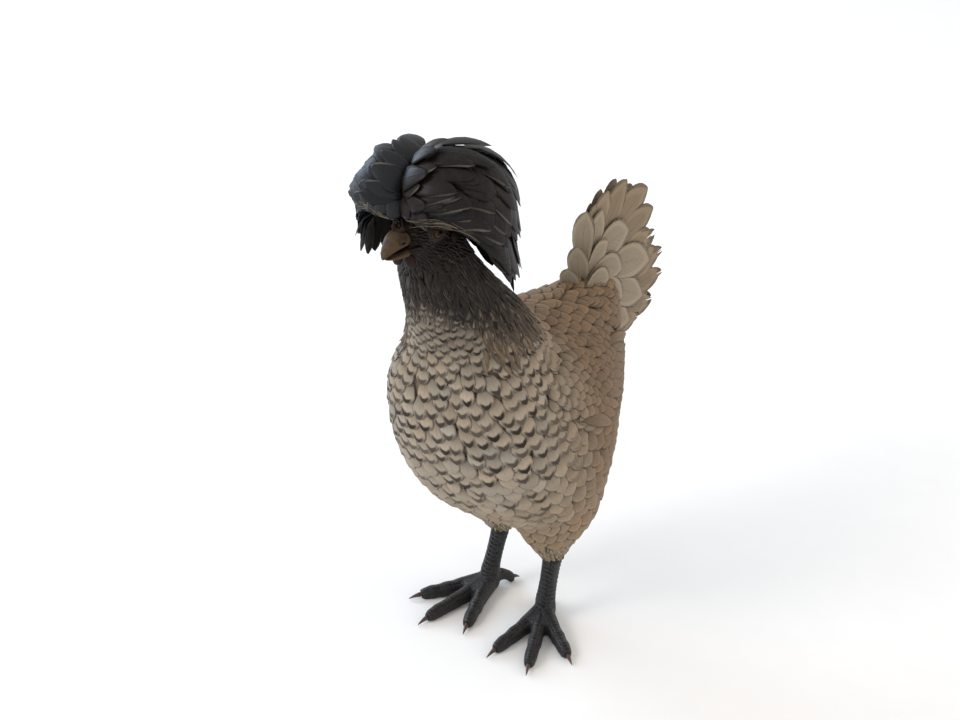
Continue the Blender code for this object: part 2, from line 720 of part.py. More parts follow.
def shank(side, leg):
    (hx, hy), (ax, ay) = leg["hem"], leg["ankle"]
    bm = bmesh.new()
    rings = []
    top, bottom = HEM_HEIGHT - GAP / MM, ANKLE_HEIGHT + GAP / MM
    for t, swell in SHANK_SWELL:
        z = top + (bottom - top) * t
        rings.append(shank_ring(Vector((hx + (ax - hx) * t, hy + (ay - hy) * t, z)), swell))
    skin_rings(bm, rings)
    return object_from(bm, "shank_" + side, material("leg_scale", LEG_DARK, 0.5))


def toe_way(leg, turn):
    """The unit direction in which a toe points, its side direction, and the ball that it leaves."""
    heading = math.radians(leg["heading"] + turn)
    way = Vector((math.sin(heading), -math.cos(heading), 0))
    return way, Z.cross(way), Vector((*leg["ball"], 0)) * MM


def toe_ring(ball, way, across, distance, half_width, top, bottom=0.0, sides=10):
    centre = ball + way * (distance * MM) + Vector((0, 0, (top + bottom) / 2)) * MM
    ring = ring_points(centre, across, Z, half_width * MM, (top - bottom) / 2 * 1.12 * MM, sides, 0.1)
    for p in ring:
        p.z = max(p.z, bottom * MM)
    return ring


def toe(side, leg, name, shape):
    way, across, ball = toe_way(leg, shape["turn"] * leg["side"])
    bm = bmesh.new()
    rings = []
    for t, half_width, top, bottom in TOE_PROFILE:
        distance = TOE_ROOT + GAP / MM + shape["length"] * t
        rings.append(toe_ring(ball, way, across, distance, half_width, top, bottom))
    skin_rings(bm, rings)
    return object_from(bm, f"toe_{side}_{name}", material("leg_scale", LEG_DARK, 0.5))


def claw_between(name, start, way, distance, shape):
    """A curved, pointed claw that starts at a distance from a point and drops as it goes."""
    root = start + way * (distance * MM) + Z * (shape["height"] * MM)
    length, drop, radius = (shape[key] * MM for key in ("length", "drop", "radius"))
    across = Z.cross(way).normalized()
    bm = bmesh.new()
    rings = []
    for t in (0.0, 0.3, 0.6, 0.85):
        centre = root + way * (length * t) - Z * (drop * t * t)
        slope = Z + way * (2 * drop * t / length)
        size = radius * (1 - t) ** 0.8
        rings.append(ring_points(centre, across, slope.normalized(), size * 0.8, size, 7))
    rings.append([root + way * length - Z * drop])
    skin_rings(bm, rings)
    return object_from(bm, name, material("claw_horn", CLAW_HORN, 0.35))


def claw(side, leg, name, shape):
    way, _, ball = toe_way(leg, shape["turn"] * leg["side"])
    distance = TOE_ROOT + 2 * GAP / MM + shape["length"]
    return claw_between(f"claw_{side}_{name}", ball, way, distance, CLAW)


def hallux_way(leg):
    """The unit direction in which the hind toe points, its side direction, and the ankle that it leaves."""
    way, across, _ = toe_way(leg, 180 + (HALLUX_TURN - 180) * leg["side"])
    return way, across, Vector((*leg["ankle"], 0)) * MM


def hallux(side, leg):
    """The hind toe, set a little up the ankle and reaching down to the floor, with its claw."""
    way, across, base = hallux_way(leg)
    bm = bmesh.new()
    rings = []
    for t, half_width, top, bottom in HALLUX_PROFILE:
        distance = HALLUX_ROOT + GAP / MM + HALLUX_LENGTH * t
        rings.append(toe_ring(base, way, across, distance, half_width, top, bottom, 8))
    skin_rings(bm, rings)
    made = object_from(bm, f"toe_{side}_hind", material("leg_scale", LEG_DARK, 0.5))
    distance = HALLUX_ROOT + 2 * GAP / MM + HALLUX_LENGTH
    return made, claw_between(f"claw_{side}_hind", base, way, distance, HIND_CLAW)


def webbed_ball(side, leg):
    """The ball of the foot with the webbed roots of its toes."""
    bm = bmesh.new()
    points = []
    for shape in TOES.values():
        way, across, ball = toe_way(leg, shape["turn"] * leg["side"])
        points += toe_ring(ball, way, across, TOE_ROOT, TOE_ROOT_HALF_WIDTH, TOE_ROOT_TOP)
    way, across, ball = toe_way(leg, 0)
    points += toe_ring(ball, way, across, *HEEL)
    for p in points:
        bm.verts.new(p)
    bmesh.ops.convex_hull(bm, input=bm.verts[:])
    loose = [v for v in bm.verts if not v.link_faces]
    bmesh.ops.delete(bm, geom=loose, context="VERTS")
    return object_from(bm, "foot_" + side, material("leg_scale", LEG_DARK, 0.5))


def ankle_form(leg):
    way, _, _ = toe_way(leg, 0)
    bm = bmesh.new()
    rings = []
    for z, swell, forward in ANKLE:
        rings.append(shank_ring(Vector((*leg["ankle"], z)) + way * forward, swell))
    skin_rings(bm, rings)
    return object_from(bm, "ankle_form")


def foot(side, leg):
    """The ball of the foot with the ankle above it and the stub that the hind toe leaves."""
    way, across, base = hallux_way(leg)
    bm = bmesh.new()
    skin_rings(bm, [toe_ring(base, way, across, *row, 8) for row in HALLUX_STUB])
    stub = object_from(bm, "hind_stub")
    return combine(webbed_ball(side, leg), [ankle_form(leg), stub], "UNION", "MANIFOLD")


def read_table(table, y):
    """A row's values at a place along Y."""
    for one, two in zip(table, table[1:]):
        if y <= two[0]:
            t = (y - one[0]) / (two[0] - one[0])
            return [a + (b - a) * t for a, b in zip(one[1:], two[1:])]
    return list(table[-1][1:])


def flank_point(skin, side, y, z):
    """Where a level line from the side meets the body, in millimetres."""
    found = skin.ray_cast(Vector((side * 0.2, y * MM, z * MM)), Vector((-side, 0, 0)))[0]
    return found / MM


def flank(skin, side, y, z, reach=5):
    """A place on the flank and the direction that the flank faces round it."""
    along = flank_point(skin, side, y + reach, z) - flank_point(skin, side, y - reach, z)
    upward = flank_point(skin, side, y, z + reach) - flank_point(skin, side, y, z - reach)
    return flank_point(skin, side, y, z), along.cross(upward).normalized() * side


def wing_shield(name, side, skin, columns=9, rows=4):
    """The thin shield that a folded wing's feathers grow from, lying on the flank."""
    bm = bmesh.new()
    inner, outer = [], []
    for y in spread(WING[0][0], WING[-1][0], columns):
        low, high = read_table(WING, y)
        places = [flank(skin, side, y, z) for z in spread(low, high, rows)]
        for rims, lift in ((inner, WING_LIFT), (outer, WING_LIFT + SHIELD_THICK)):
            rims.append([bm.verts.new((place + normal * lift) * MM) for place, normal in places])
    for face in (inner, outer):
        for one, two in zip(face, face[1:]):
            for k in range(rows - 1):
                bm.faces.new((one[k], two[k], two[k + 1], one[k + 1]))
    rim = [(i, 0) for i in range(columns)] + [(columns - 1, k) for k in range(1, rows)]
    rim += [(i, rows - 1) for i in range(columns - 2, -1, -1)] + [(0, k) for k in range(rows - 2, 0, -1)]
    for (i, k), (m, n) in zip(rim, rim[1:] + rim[:1]):
        bm.faces.new((inner[i][k], inner[m][n], outer[m][n], outer[i][k]))
    return object_from(bm, "wing_" + name, material("wing_plumage", PLUMAGE, 0.7))


def wing_feather(side, skin, root, tip, row, rng):
    """One feather along the flank, rising off the shield towards its tip."""
    length = rng.uniform(0.95, 1.05)
    start = WING_LIFT + SHIELD_THICK / 2
    path, facing = [], []
    for share in FEATHER_SHARES:
        y, z = (a + (b - a) * share * length for a, b in zip(root, tip))
        place, normal = flank(skin, side, y, z + 1.6 * math.sin(math.pi * share))
        path.append(place + normal * (start + (row["lift"] - start) * share))
        facing.append(normal)
    facing = [rolled(normal, path[-1] - path[0], WING_SHINGLE * side) for normal in facing]
    return plate(path, facing, [row["half"] * share for share in WING_BREADTH])


def wing(name, side, skin, neighbours):
    """A folded wing: rows of coverts over the flight feathers."""
    rng = random.Random("wing " + name)
    vanes = []
    for row in WING_ROWS:
        for t in spread(0, 1, row["count"]):
            root, tip = ([a + (b - a) * t for a, b in zip(*row[ends])] for ends in ("roots", "tips"))
            vanes.append(wing_feather(side, skin, root, tip, row, rng))
    return feathered(wing_shield(name, side, skin), vanes, neighbours)


def tail_feather(side, row, t, length, rng):
    """One feather of the tail's fan, leaning out more the lower it grows."""
    first, last = row["turns"]
    angle = math.radians(first + (last - first) * t + rng.uniform(-1.5, 1.5))
    way = Vector((0, math.cos(angle), math.sin(angle)))
    lean = row["in"] + (row["out"] - row["in"]) * t**1.2 * length / 90
    path = []
    for share in FEATHER_SHARES:
        reach = row["start"] + (length - row["start"]) * share
        path.append(TAIL_ROOT + way * reach + Vector((side * (1.5 + (lean - 1.5) * share**0.7), 0, 0)))
    ahead = (path[-1] - path[1]).normalized()
    facing = Vector((side, 0, 0)) - ahead * (side * ahead.x)
    facing = rolled(facing.normalized(), ahead, -TAIL_SHINGLE * side)
    return plate(path, [facing] * len(path), [row["half"] * share for share in TAIL_BREADTH])


def tail(torso):
    """The tail: a tall folded fan of main feathers with rows of coverts over its base on both sides."""
    rng = random.Random("tail")
    vanes = []
    for side in (1, -1):
        for row in TAIL_ROWS:
            for t, length in zip(spread(0, 1, len(row["length"])), row["length"]):
                vanes.append(tail_feather(side, row, t, length * rng.uniform(0.97, 1.03), rng))
    bm = bmesh.new()
    bmesh.ops.create_uvsphere(bm, u_segments=12, v_segments=8, radius=MM)
    bmesh.ops.scale(bm, vec=TAIL_CORE["radii"], verts=bm.verts[:])
    bmesh.ops.translate(bm, vec=(TAIL_ROOT + TAIL_CORE["from_root"]) * MM, verts=bm.verts[:])
    return feathered(object_from(bm, "tail", material("tail_plumage", PLUMAGE, 0.7)), vanes, [torso])


def set_on_origin():
    """Moves everything so that the origin is on the floor, under the middle of the bounding box."""
    corners = [v.co for o in bpy.data.objects for v in o.data.vertices]
    low = Vector([min(c[i] for c in corners) for i in range(3)])
    high = Vector([max(c[i] for c in corners) for i in range(3)])
    shift = Vector((-(low.x + high.x) / 2, -(low.y + high.y) / 2, -low.z))
    for o in bpy.data.objects:
        o.data.transform(Matrix.Translation(shift))
    return shift


def main():
    clear_scene()
    torso, neck, head, skin = body_nodes()
    fronts = eyes(head)
    fronts += beak(head)
    fronts += face_parts([head, neck, *fronts])
    crest([head, neck, *fronts])
    thighs = []
    for side, leg in LEGS.items():
        thighs.append(thigh(side, leg, torso))
        shank(side, leg)
        foot(side, leg)
        for name, shape in TOES.items():
            toe(side, leg, name, shape)
            claw(side, leg, name, shape)
        hallux(side, leg)
    wing("left", 1, skin, [torso, thighs[0]])
    wing("right", -1, skin, [torso, thighs[1]])
    tail(torso)
    shift = set_on_origin()
    print("moved by", tuple(round(x / MM, 2) for x in shift), "mm")


main()
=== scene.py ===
import math

import bmesh
import bpy
import numpy as np
from mathutils import Matrix, Vector
from mathutils.bvhtree import BVHTree
from mathutils.kdtree import KDTree


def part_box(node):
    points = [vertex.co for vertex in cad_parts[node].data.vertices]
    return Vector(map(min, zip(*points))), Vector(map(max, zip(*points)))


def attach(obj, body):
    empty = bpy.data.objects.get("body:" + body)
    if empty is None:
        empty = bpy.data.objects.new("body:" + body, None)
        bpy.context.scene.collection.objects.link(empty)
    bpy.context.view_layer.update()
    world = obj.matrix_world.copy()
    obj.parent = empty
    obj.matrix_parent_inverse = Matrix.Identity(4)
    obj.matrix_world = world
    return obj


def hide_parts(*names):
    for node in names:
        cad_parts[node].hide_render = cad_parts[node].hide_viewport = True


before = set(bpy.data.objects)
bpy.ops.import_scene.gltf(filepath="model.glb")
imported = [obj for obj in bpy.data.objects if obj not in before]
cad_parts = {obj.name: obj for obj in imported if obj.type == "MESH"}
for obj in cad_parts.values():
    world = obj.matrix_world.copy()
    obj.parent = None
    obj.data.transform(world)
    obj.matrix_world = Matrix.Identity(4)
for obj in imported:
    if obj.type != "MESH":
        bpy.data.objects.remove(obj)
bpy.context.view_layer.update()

mm = 0.001
head = {"centre": (0, -108, 335), "yaw": 1, "eye": (12.4, -9.5, 0.2), "eyeRadius": 4.4}


def birdOrigin():
    # the point that the bird's lengths are measured from, read back from where the eyes are
    middle = Vector((0, 0, 0))
    for node in ("eye_left", "eye_right"):
        low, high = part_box(node)
        middle += (low + high) / 4
    turn = Matrix.Rotation(math.radians(head["yaw"]), 3, "Z")
    _, y, z = head["eye"]
    return middle - (Vector(head["centre"]) + turn @ Vector((0, y, z))) * mm


origin = birdOrigin()
headTurn = np.array(Matrix.Rotation(math.radians(head["yaw"]), 3, "Z"))
headCentre = np.array(head["centre"], float)
sides = (("left", 1), ("right", -1))


def fromHead(points):
    return np.asarray(points, float) @ headTurn.T + headCentre


def toRow(points):
    return np.asarray(points, float) * mm + np.array(origin)


def fromRow(points):
    return (np.asarray(points) - np.array(origin)) / mm


def birdPoints(mesh):
    flat = np.zeros(len(mesh.vertices) * 3)
    mesh.vertices.foreach_get("co", flat)
    return fromRow(flat.reshape(-1, 3))


def eyePlace(side):
    out, y, z = head["eye"]
    return np.array((side * out, y, z))


def unit(vectors):
    return vectors / (np.linalg.norm(vectors, axis=-1, keepdims=True) + 1e-9)


def ease(x, low, high):
    t = np.clip((x - low) / (high - low), 0, 1)
    return t * t * (3 - 2 * t)


def dot(a, b):
    return (a * b).sum(-1, keepdims=True)


def mixed(one, two, t):
    return np.array(one) * (1 - t) + np.array(two) * t


def readThrough(shares, knots, values):
    # values (one row to a knot) read at other shares
    return np.stack([np.interp(shares, knots, column) for column in np.transpose(values)], 1)


# Camera, light and floor

camera = {"azimuth": 32, "elevation": 28, "distance": 1.4667, "lens": 82.99, "aim": (-28.4, -2.7, 187)}
lights = {
    "front": {"place": (-1.1, -1.7, 1.7), "size": 1.1, "power": 20, "colour": (1.0, 0.97, 0.93)},
    "cool": {"place": (-1.9, 0.4, 0.9), "size": 1.2, "power": 22, "colour": (0.62, 0.80, 1.0)},
    "warm": {"place": (1.7, 0.8, 1.0), "size": 1.2, "power": 6, "colour": (1.0, 0.70, 0.42)},
    "world": {"colour": (1.0, 1.0, 1.0), "strength": 0.84},
    "floor": {"colour": (0.95, 0.95, 0.95), "size": 60},
}


def lookFrom(azimuth, elevation):
    a, e = math.radians(azimuth), math.radians(elevation)
    return Vector((math.sin(a) * math.cos(e), -math.cos(a) * math.cos(e), math.sin(e)))


def setCamera():
    made = bpy.data.objects.new("camera", bpy.data.cameras.new("camera"))
    bpy.context.scene.collection.objects.link(made)
    made.data.lens = camera["lens"]
    made.data.sensor_width = 36
    made.data.clip_start = 0.05
    back = lookFrom(camera["azimuth"], camera["elevation"])
    made.location = Vector(toRow(camera["aim"])) + back * camera["distance"]
    made.rotation_euler = (-back).to_track_quat("-Z", "Y").to_euler()
    bpy.context.scene.camera = made


def setLights():
    aim = Vector(toRow((0, 0, 180)))
    for name in ("front", "cool", "warm"):
        spec = lights[name]
        lamp = bpy.data.lights.new(name, "AREA")
        lamp.shape = "DISK"
        lamp.size = spec["size"]
        lamp.energy = spec["power"]
        lamp.color = spec["colour"]
        made = bpy.data.objects.new(name, lamp)
        made.location = spec["place"]
        made.rotation_euler = (aim - made.location).to_track_quat("-Z", "Y").to_euler()
        bpy.context.scene.collection.objects.link(made)
    world = bpy.data.worlds.new("studio")
    world.use_nodes = True
    sky = world.node_tree.nodes["Background"]
    sky.inputs["Color"].default_value = (*lights["world"]["colour"], 1)
    sky.inputs["Strength"].default_value = lights["world"]["strength"]
    bpy.context.scene.world = world
    bpy.context.scene.view_settings.view_transform = "Standard"


def setFloor():
    bm = bmesh.new()
    bmesh.ops.create_grid(bm, x_segments=2, y_segments=2, size=lights["floor"]["size"] / 2)
    made = objectFrom(bm, "floor", "floor")


# Shader maths

class Signal:
    def __init__(self, socket):
        self.socket = socket
        self.tree = socket.node.id_data

    def maths(self, operation, *terms):
        node = self.tree.nodes.new("ShaderNodeMath")
        node.operation = operation
        for slot, term in zip(node.inputs, terms):
            plug(slot, term)
        return Signal(node.outputs[0])

    def __add__(self, other): return self.maths("ADD", self, other)
    def __radd__(self, other): return self.maths("ADD", other, self)
    def __sub__(self, other): return self.maths("SUBTRACT", self, other)
    def __rsub__(self, other): return self.maths("SUBTRACT", other, self)
    def __mul__(self, other): return self.maths("MULTIPLY", self, other)
    def __truediv__(self, other): return self.maths("DIVIDE", self, other)
    def __abs__(self): return self.maths("ABSOLUTE", self)
    def sine(self): return self.maths("SINE", self)
    def root(self): return self.maths("SQRT", self)
    def atLeast(self, other): return self.maths("MAXIMUM", self, other)

    def between(self, low, high):  # 0 at low, 1 at high, eased
        node = self.tree.nodes.new("ShaderNodeMapRange")
        node.interpolation_type = "SMOOTHSTEP"
        for slot, term in zip(("Value", "From Min", "From Max"), (self, low, high)):
            plug(node.inputs[slot], term)
        return Signal(node.outputs["Result"])


def plug(slot, value):
    if isinstance(value, Signal):
        slot.id_data.links.new(value.socket, slot)
    elif isinstance(value, tuple) and len(value) == 3 and slot.type == "RGBA":
        slot.default_value = (*value, 1)
    else:
        slot.default_value = value


class Finish:
    def __init__(self, name, **fixed):
        self.material = bpy.data.materials.new(name)
        self.material.use_nodes = True
        self.tree = self.material.node_tree
        self.shader = self.tree.nodes["Principled BSDF"]
        self.wear(**fixed)

    def node(self, kind, settings, inputs, output=0):
        made = self.tree.nodes.new("ShaderNode" + kind)
        for key, value in settings.items():
            setattr(made, key, value)
        for socket, value in inputs.items():
            plug(made.inputs[socket], value)
        return Signal(made.outputs[output])

    def blend(self, factor, one, two, way="MIX"):
        made = self.tree.nodes.new("ShaderNodeMix")
        made.data_type = "RGBA"
        made.blend_type = way
        for socket, value in zip((0, 6, 7), (factor, one, two)):
            plug(made.inputs[socket], value)
        return Signal(made.outputs[2])

    def ramp(self, factor, stops):
        made = self.tree.nodes.new("ShaderNodeValToRGB")
        points = made.color_ramp.elements
        while len(points) < len(stops):
            points.new(0.5)
        for point, (place, colour) in zip(points, stops):
            point.position = place
            point.color = (*colour, 1)
        plug(made.inputs[0], factor)
        return Signal(made.outputs[0])

    def split(self, value, kind="SeparateXYZ"):
        made = self.tree.nodes.new("ShaderNode" + kind)
        plug(made.inputs[0], value)
        return [Signal(socket) for socket in made.outputs]

    def place(self):
        return self.node("TexCoord", {}, {}, "Object")

    def noise(self, scale, detail=2):
        inputs = {"Vector": self.place(), "Scale": scale, "Detail": detail}
        return self.node("TexNoise", {}, inputs, "Fac")

    def cells(self, scale, feature="F1"):
        inputs = {"Vector": self.place(), "Scale": scale}
        return self.node("TexVoronoi", {"feature": feature}, inputs, "Distance")

    def painted(self, name):
        return self.node("Attribute", {"attribute_name": name}, {}, "Color")

    def vane(self):
        across, along, _ = self.split(self.node("UVMap", {"uv_map": "vane"}, {}))
        return across * 2 - 1, along

    def bump(self, height, strength, distance):
        inputs = {"Height": height, "Strength": strength, "Distance": distance}
        plug(self.shader.inputs["Normal"], self.node("Bump", {}, inputs, "Normal"))

    def multiplied(self, one, two):
        return self.blend(1, one, two, "MULTIPLY")

    def wear(self, **values):
        for socket, value in values.items():
            plug(self.shader.inputs[socket.replace("_", " ")], value)


def floorFinish():
    finish = Finish("floor")
    colour = lights["floor"]["colour"]
    tone = finish.blend(finish.noise(40, 3), tuple(c * 0.97 for c in colour), colour)
    finish.wear(Base_Color=tone, Roughness=0.9)


# Meshes

def objectFrom(bm, name, material=None):
    mesh = bpy.data.meshes.new(name)
    bm.to_mesh(mesh)
    bm.free()
    mesh.shade_smooth()
    made = bpy.data.objects.new(name, mesh)
    bpy.context.scene.collection.objects.link(made)
    if material:
        mesh.materials.append(bpy.data.materials[material])
    return made


def evaluated(obj):
    graph = bpy.context.evaluated_depsgraph_get()
    mesh = bpy.data.meshes.new_from_object(obj.evaluated_get(graph))
    obj.modifiers.clear()
    obj.data = mesh
    return obj


def remeshed(obj, voxel, rounds=0):
    even = obj.modifiers.new("even", "REMESH")
    even.mode = "VOXEL"
    even.voxel_size = voxel * mm
    if rounds:
        soften = obj.modifiers.new("soften", "SMOOTH")
        soften.iterations = rounds
    return evaluated(obj)


def mergedCopy(nodes, swell=0.0):
    # the CAD nodes' meshes with their corners welded, as one bmesh
    whole = bmesh.new()
    for node in nodes:
        part = bmesh.new()
        part.from_mesh(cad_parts[node].data)
        bmesh.ops.remove_doubles(part, verts=part.verts[:], dist=0.005 * mm)
        part.normal_update()
        moved = [v.co + v.normal * (swell * mm) for v in part.verts]
        for v, place in zip(part.verts, moved):
            v.co = place
        mesh = bpy.data.meshes.new("part")
        part.to_mesh(mesh)
        part.free()
        whole.from_mesh(mesh)
        bpy.data.meshes.remove(mesh)
    return whole


def dress(obj, nodes):
    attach(obj, "root")
    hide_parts(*nodes)
    return obj


class Surface:
    # a smooth closed mesh that feathers are laid on, in bird millimetres
    def __init__(self, obj, rounds):
        mesh = obj.data
        count = len(mesh.vertices)
        self.points = birdPoints(mesh)
        edges = np.zeros(len(mesh.edges) * 2, int)
        mesh.edges.foreach_get("vertices", edges)
        self.edges = edges.reshape(-1, 2)
        self.degree = np.bincount(edges, minlength=count)[:, None]
        mesh.calc_loop_triangles()
        tris = np.zeros(len(mesh.loop_triangles) * 3, int)
        mesh.loop_triangles.foreach_get("vertices", tris)
        self.tris = tris.reshape(-1, 3)
        weight = 0.6 * (1 - ease(self.points[:, 2], 300, 318))[:, None]
        weight *= ease(self.points[:, 2], 47, 56)[:, None]
        for _ in range(rounds):
            self.points += weight * (self.spread(self.points) - self.points)
        self.normals = self.vertexNormals()
        for _ in range(6):
            self.normals = unit(self.normals + self.spread(self.normals))
        self.tree = BVHTree.FromPolygons(self.points.tolist(), self.tris.tolist())
        self.facing = unit(self.normals[self.tris].mean(1))

    def spread(self, values):
        total = np.zeros_like(values)
        for a, b in ((0, 1), (1, 0)):
            for k in range(3):
                total[:, k] += np.bincount(self.edges[:, a], values[self.edges[:, b], k], len(values))
        return total / self.degree

    def vertexNormals(self):
        a, b, c = (self.points[self.tris[:, k]] for k in range(3))
        faces = np.cross(b - a, c - a)
        total = np.zeros_like(self.points)
        for k in range(3):
            for axis in range(3):
                total[:, axis] += np.bincount(self.tris[:, k], faces[:, axis], len(self.points))
        return unit(total)

    def nearest(self, points):
        places, faces = [], []
        for p in points:
            place, _, face, _ = self.tree.find_nearest(p)
            places.append(place)
            faces.append(face)
        return np.array(places), self.facing[faces]

    def struck(self, y, z, side):
        # where a level line from one side meets the surface
        place, _, face, _ = self.tree.ray_cast((side * 200, y, z), (-side, 0, 0))
        if place is None:
            place, _, face, _ = self.tree.find_nearest((side * 30, y, z))
        return np.array(place), self.facing[face]

    def scattered(self, spacing, wanted, seed, tries=14):
        # roots spread as evenly as scales, each with its own distance to the next
        rng = np.random.default_rng(seed)
        a, b, c = (self.points[self.tris[:, k]] for k in range(3))
        area = np.linalg.norm(np.cross(b - a, c - a), axis=1) / 2
        area = area * (wanted((a + b + c) / 3) > 0)
        count = int(area.sum() * tries / max(spacing((a + b + c)[area > 0] / 3).mean(), 1) ** 2)
        chosen = rng.choice(len(area), count, p=area / area.sum())
        s, t = rng.random((2, count, 1))
        s, t = np.where(s + t > 1, 1 - s, s), np.where(s + t > 1, 1 - t, t)
        points = a[chosen] + s * (b - a)[chosen] + t * (c - a)[chosen]
        points = points[wanted(points) > 0]
        gaps = spacing(points)
        cell = gaps.max()
        keys = np.floor(points / cell).astype(int)
        taken, grid = [], {}
        steps = [(i, j, k) for i in (-1, 0, 1) for j in (-1, 0, 1) for k in (-1, 0, 1)]
        for index in range(len(points)):
            x, y, z = keys[index]
            p, gap = points[index], gaps[index]
            near = [n for i, j, k in steps for n in grid.get((x + i, y + j, z + k), ())]
            if near and (((points[near] - p) ** 2).sum(1) < gap * gap).any():
                continue
            taken.append(index)
            grid.setdefault((x, y, z), []).append(index)
        return self.relaxed(points[taken], gaps[taken])

    def relaxed(self, points, gaps, rounds=5):
        for _ in range(rounds):
            tree = KDTree(len(points))
            for i, p in enumerate(points):
                tree.insert(p, i)
            tree.balance()
            moved = points.copy()
            for i, p in enumerate(points):
                reach = gaps[i] * 1.3
                for q, j, d in tree.find_range(p, reach):
                    if j != i and d > 1e-6:
                        moved[i] += (p - np.array(q)) / d * (reach - d) * 0.16
            points, _ = self.nearest(moved)
        return points


# Markings, shared by the skin and the coat

shades = {
    "breast": (0.350, 0.290, 0.222),
    "rear": (0.176, 0.114, 0.062),
    "belly": (0.275, 0.202, 0.125),
    "dark": (0.0150, 0.0100, 0.0068),
    "face": (0.0125, 0.0080, 0.0056),
}


def collarHeight(y):
    # where the dark neck ends, lower behind than in front
    return 280 - 0.36 * (np.minimum(y, -42) + 118)


def markings(points):
    # colour, darkness, strength of the tip crescents and of the pale rims
    x, y, z = points.T
    wave = 3 * np.sin(x * 0.21 + 1) + 2 * np.sin(y * 0.3 + z * 0.17)
    collar = collarHeight(y) + wave
    dark = ease(z, collar - 7, collar + 9) * (1 - ease(y, -20, 0))
    rear = ease(y, -70, 10)[:, None]
    low = ease(-z, -150, -70)[:, None]
    tint = mixed(mixed(shades["breast"], shades["rear"], rear), shades["belly"], low * 0.7)
    night = mixed(shades["dark"], shades["face"], ease(z, 312, 324)[:, None])
    dusk = 0.42 * ease(z, 222, 268) * (1 - ease(y, -60, -30))
    tint = mixed(tint * (1 - dusk[:, None]), night, dark[:, None])
    crescent = (1 - ease(y, -62, -14)) * ease(z, 92, 128)
    rim = 0.35 + 0.65 * ease(y, -70, -10)
    return tint, dark, crescent, rim


def lie(points, normals):
    # the way the body's feathers point
    x, y, z = points.T
    back = 0.3 + 1.25 * ease(y, -65, 55)
    back *= 1 - 0.65 * ease(-z, -112, -88) * (y < 70)
    back *= 1 - 0.6 * ease(z, 232, 262)
    out = 0.16 * np.sign(x) * ease(np.abs(x), 0, 25)
    way = np.stack([out, back, -np.ones_like(x)], 1)
    return unit(way - normals * dot(way, normals))


# Feathers: thin closed plates along a middle line, many to a mesh

def pointed(t, full=0.45, root=0.22, tip=0.05, taper=0.75):
    # a leaf's breadth along its length, widest at full
    t = np.asarray(t, float)
    rise = root + (1 - root) * np.sin(np.clip(t / full, 0, 1) * math.pi / 2)
    fall = tip + (1 - tip) * np.clip((1 - t) / (1 - full), 0, 1) ** taper
    return np.where(t < full, rise, fall)


def rounded(t, root=0.35, tip=0.12, full=0.62):
    t = np.asarray(t, float)
    end = np.sqrt(np.clip(1 - ((t - full) / (1 - full)) ** 2 * (1 - tip * tip), 0, 1))
    return np.where(t < full, root + (1 - root) * np.sin(t / full * math.pi / 2), end)


def readAlong(values, shares):
    # evenly spaced stations read at other shares of the length
    place = np.asarray(shares) * (values.shape[1] - 1)
    low = np.minimum(place.astype(int), values.shape[1] - 2)
    part = (place - low)[None, :, None]
    return values[:, low] * (1 - part) + values[:, low + 1] * part


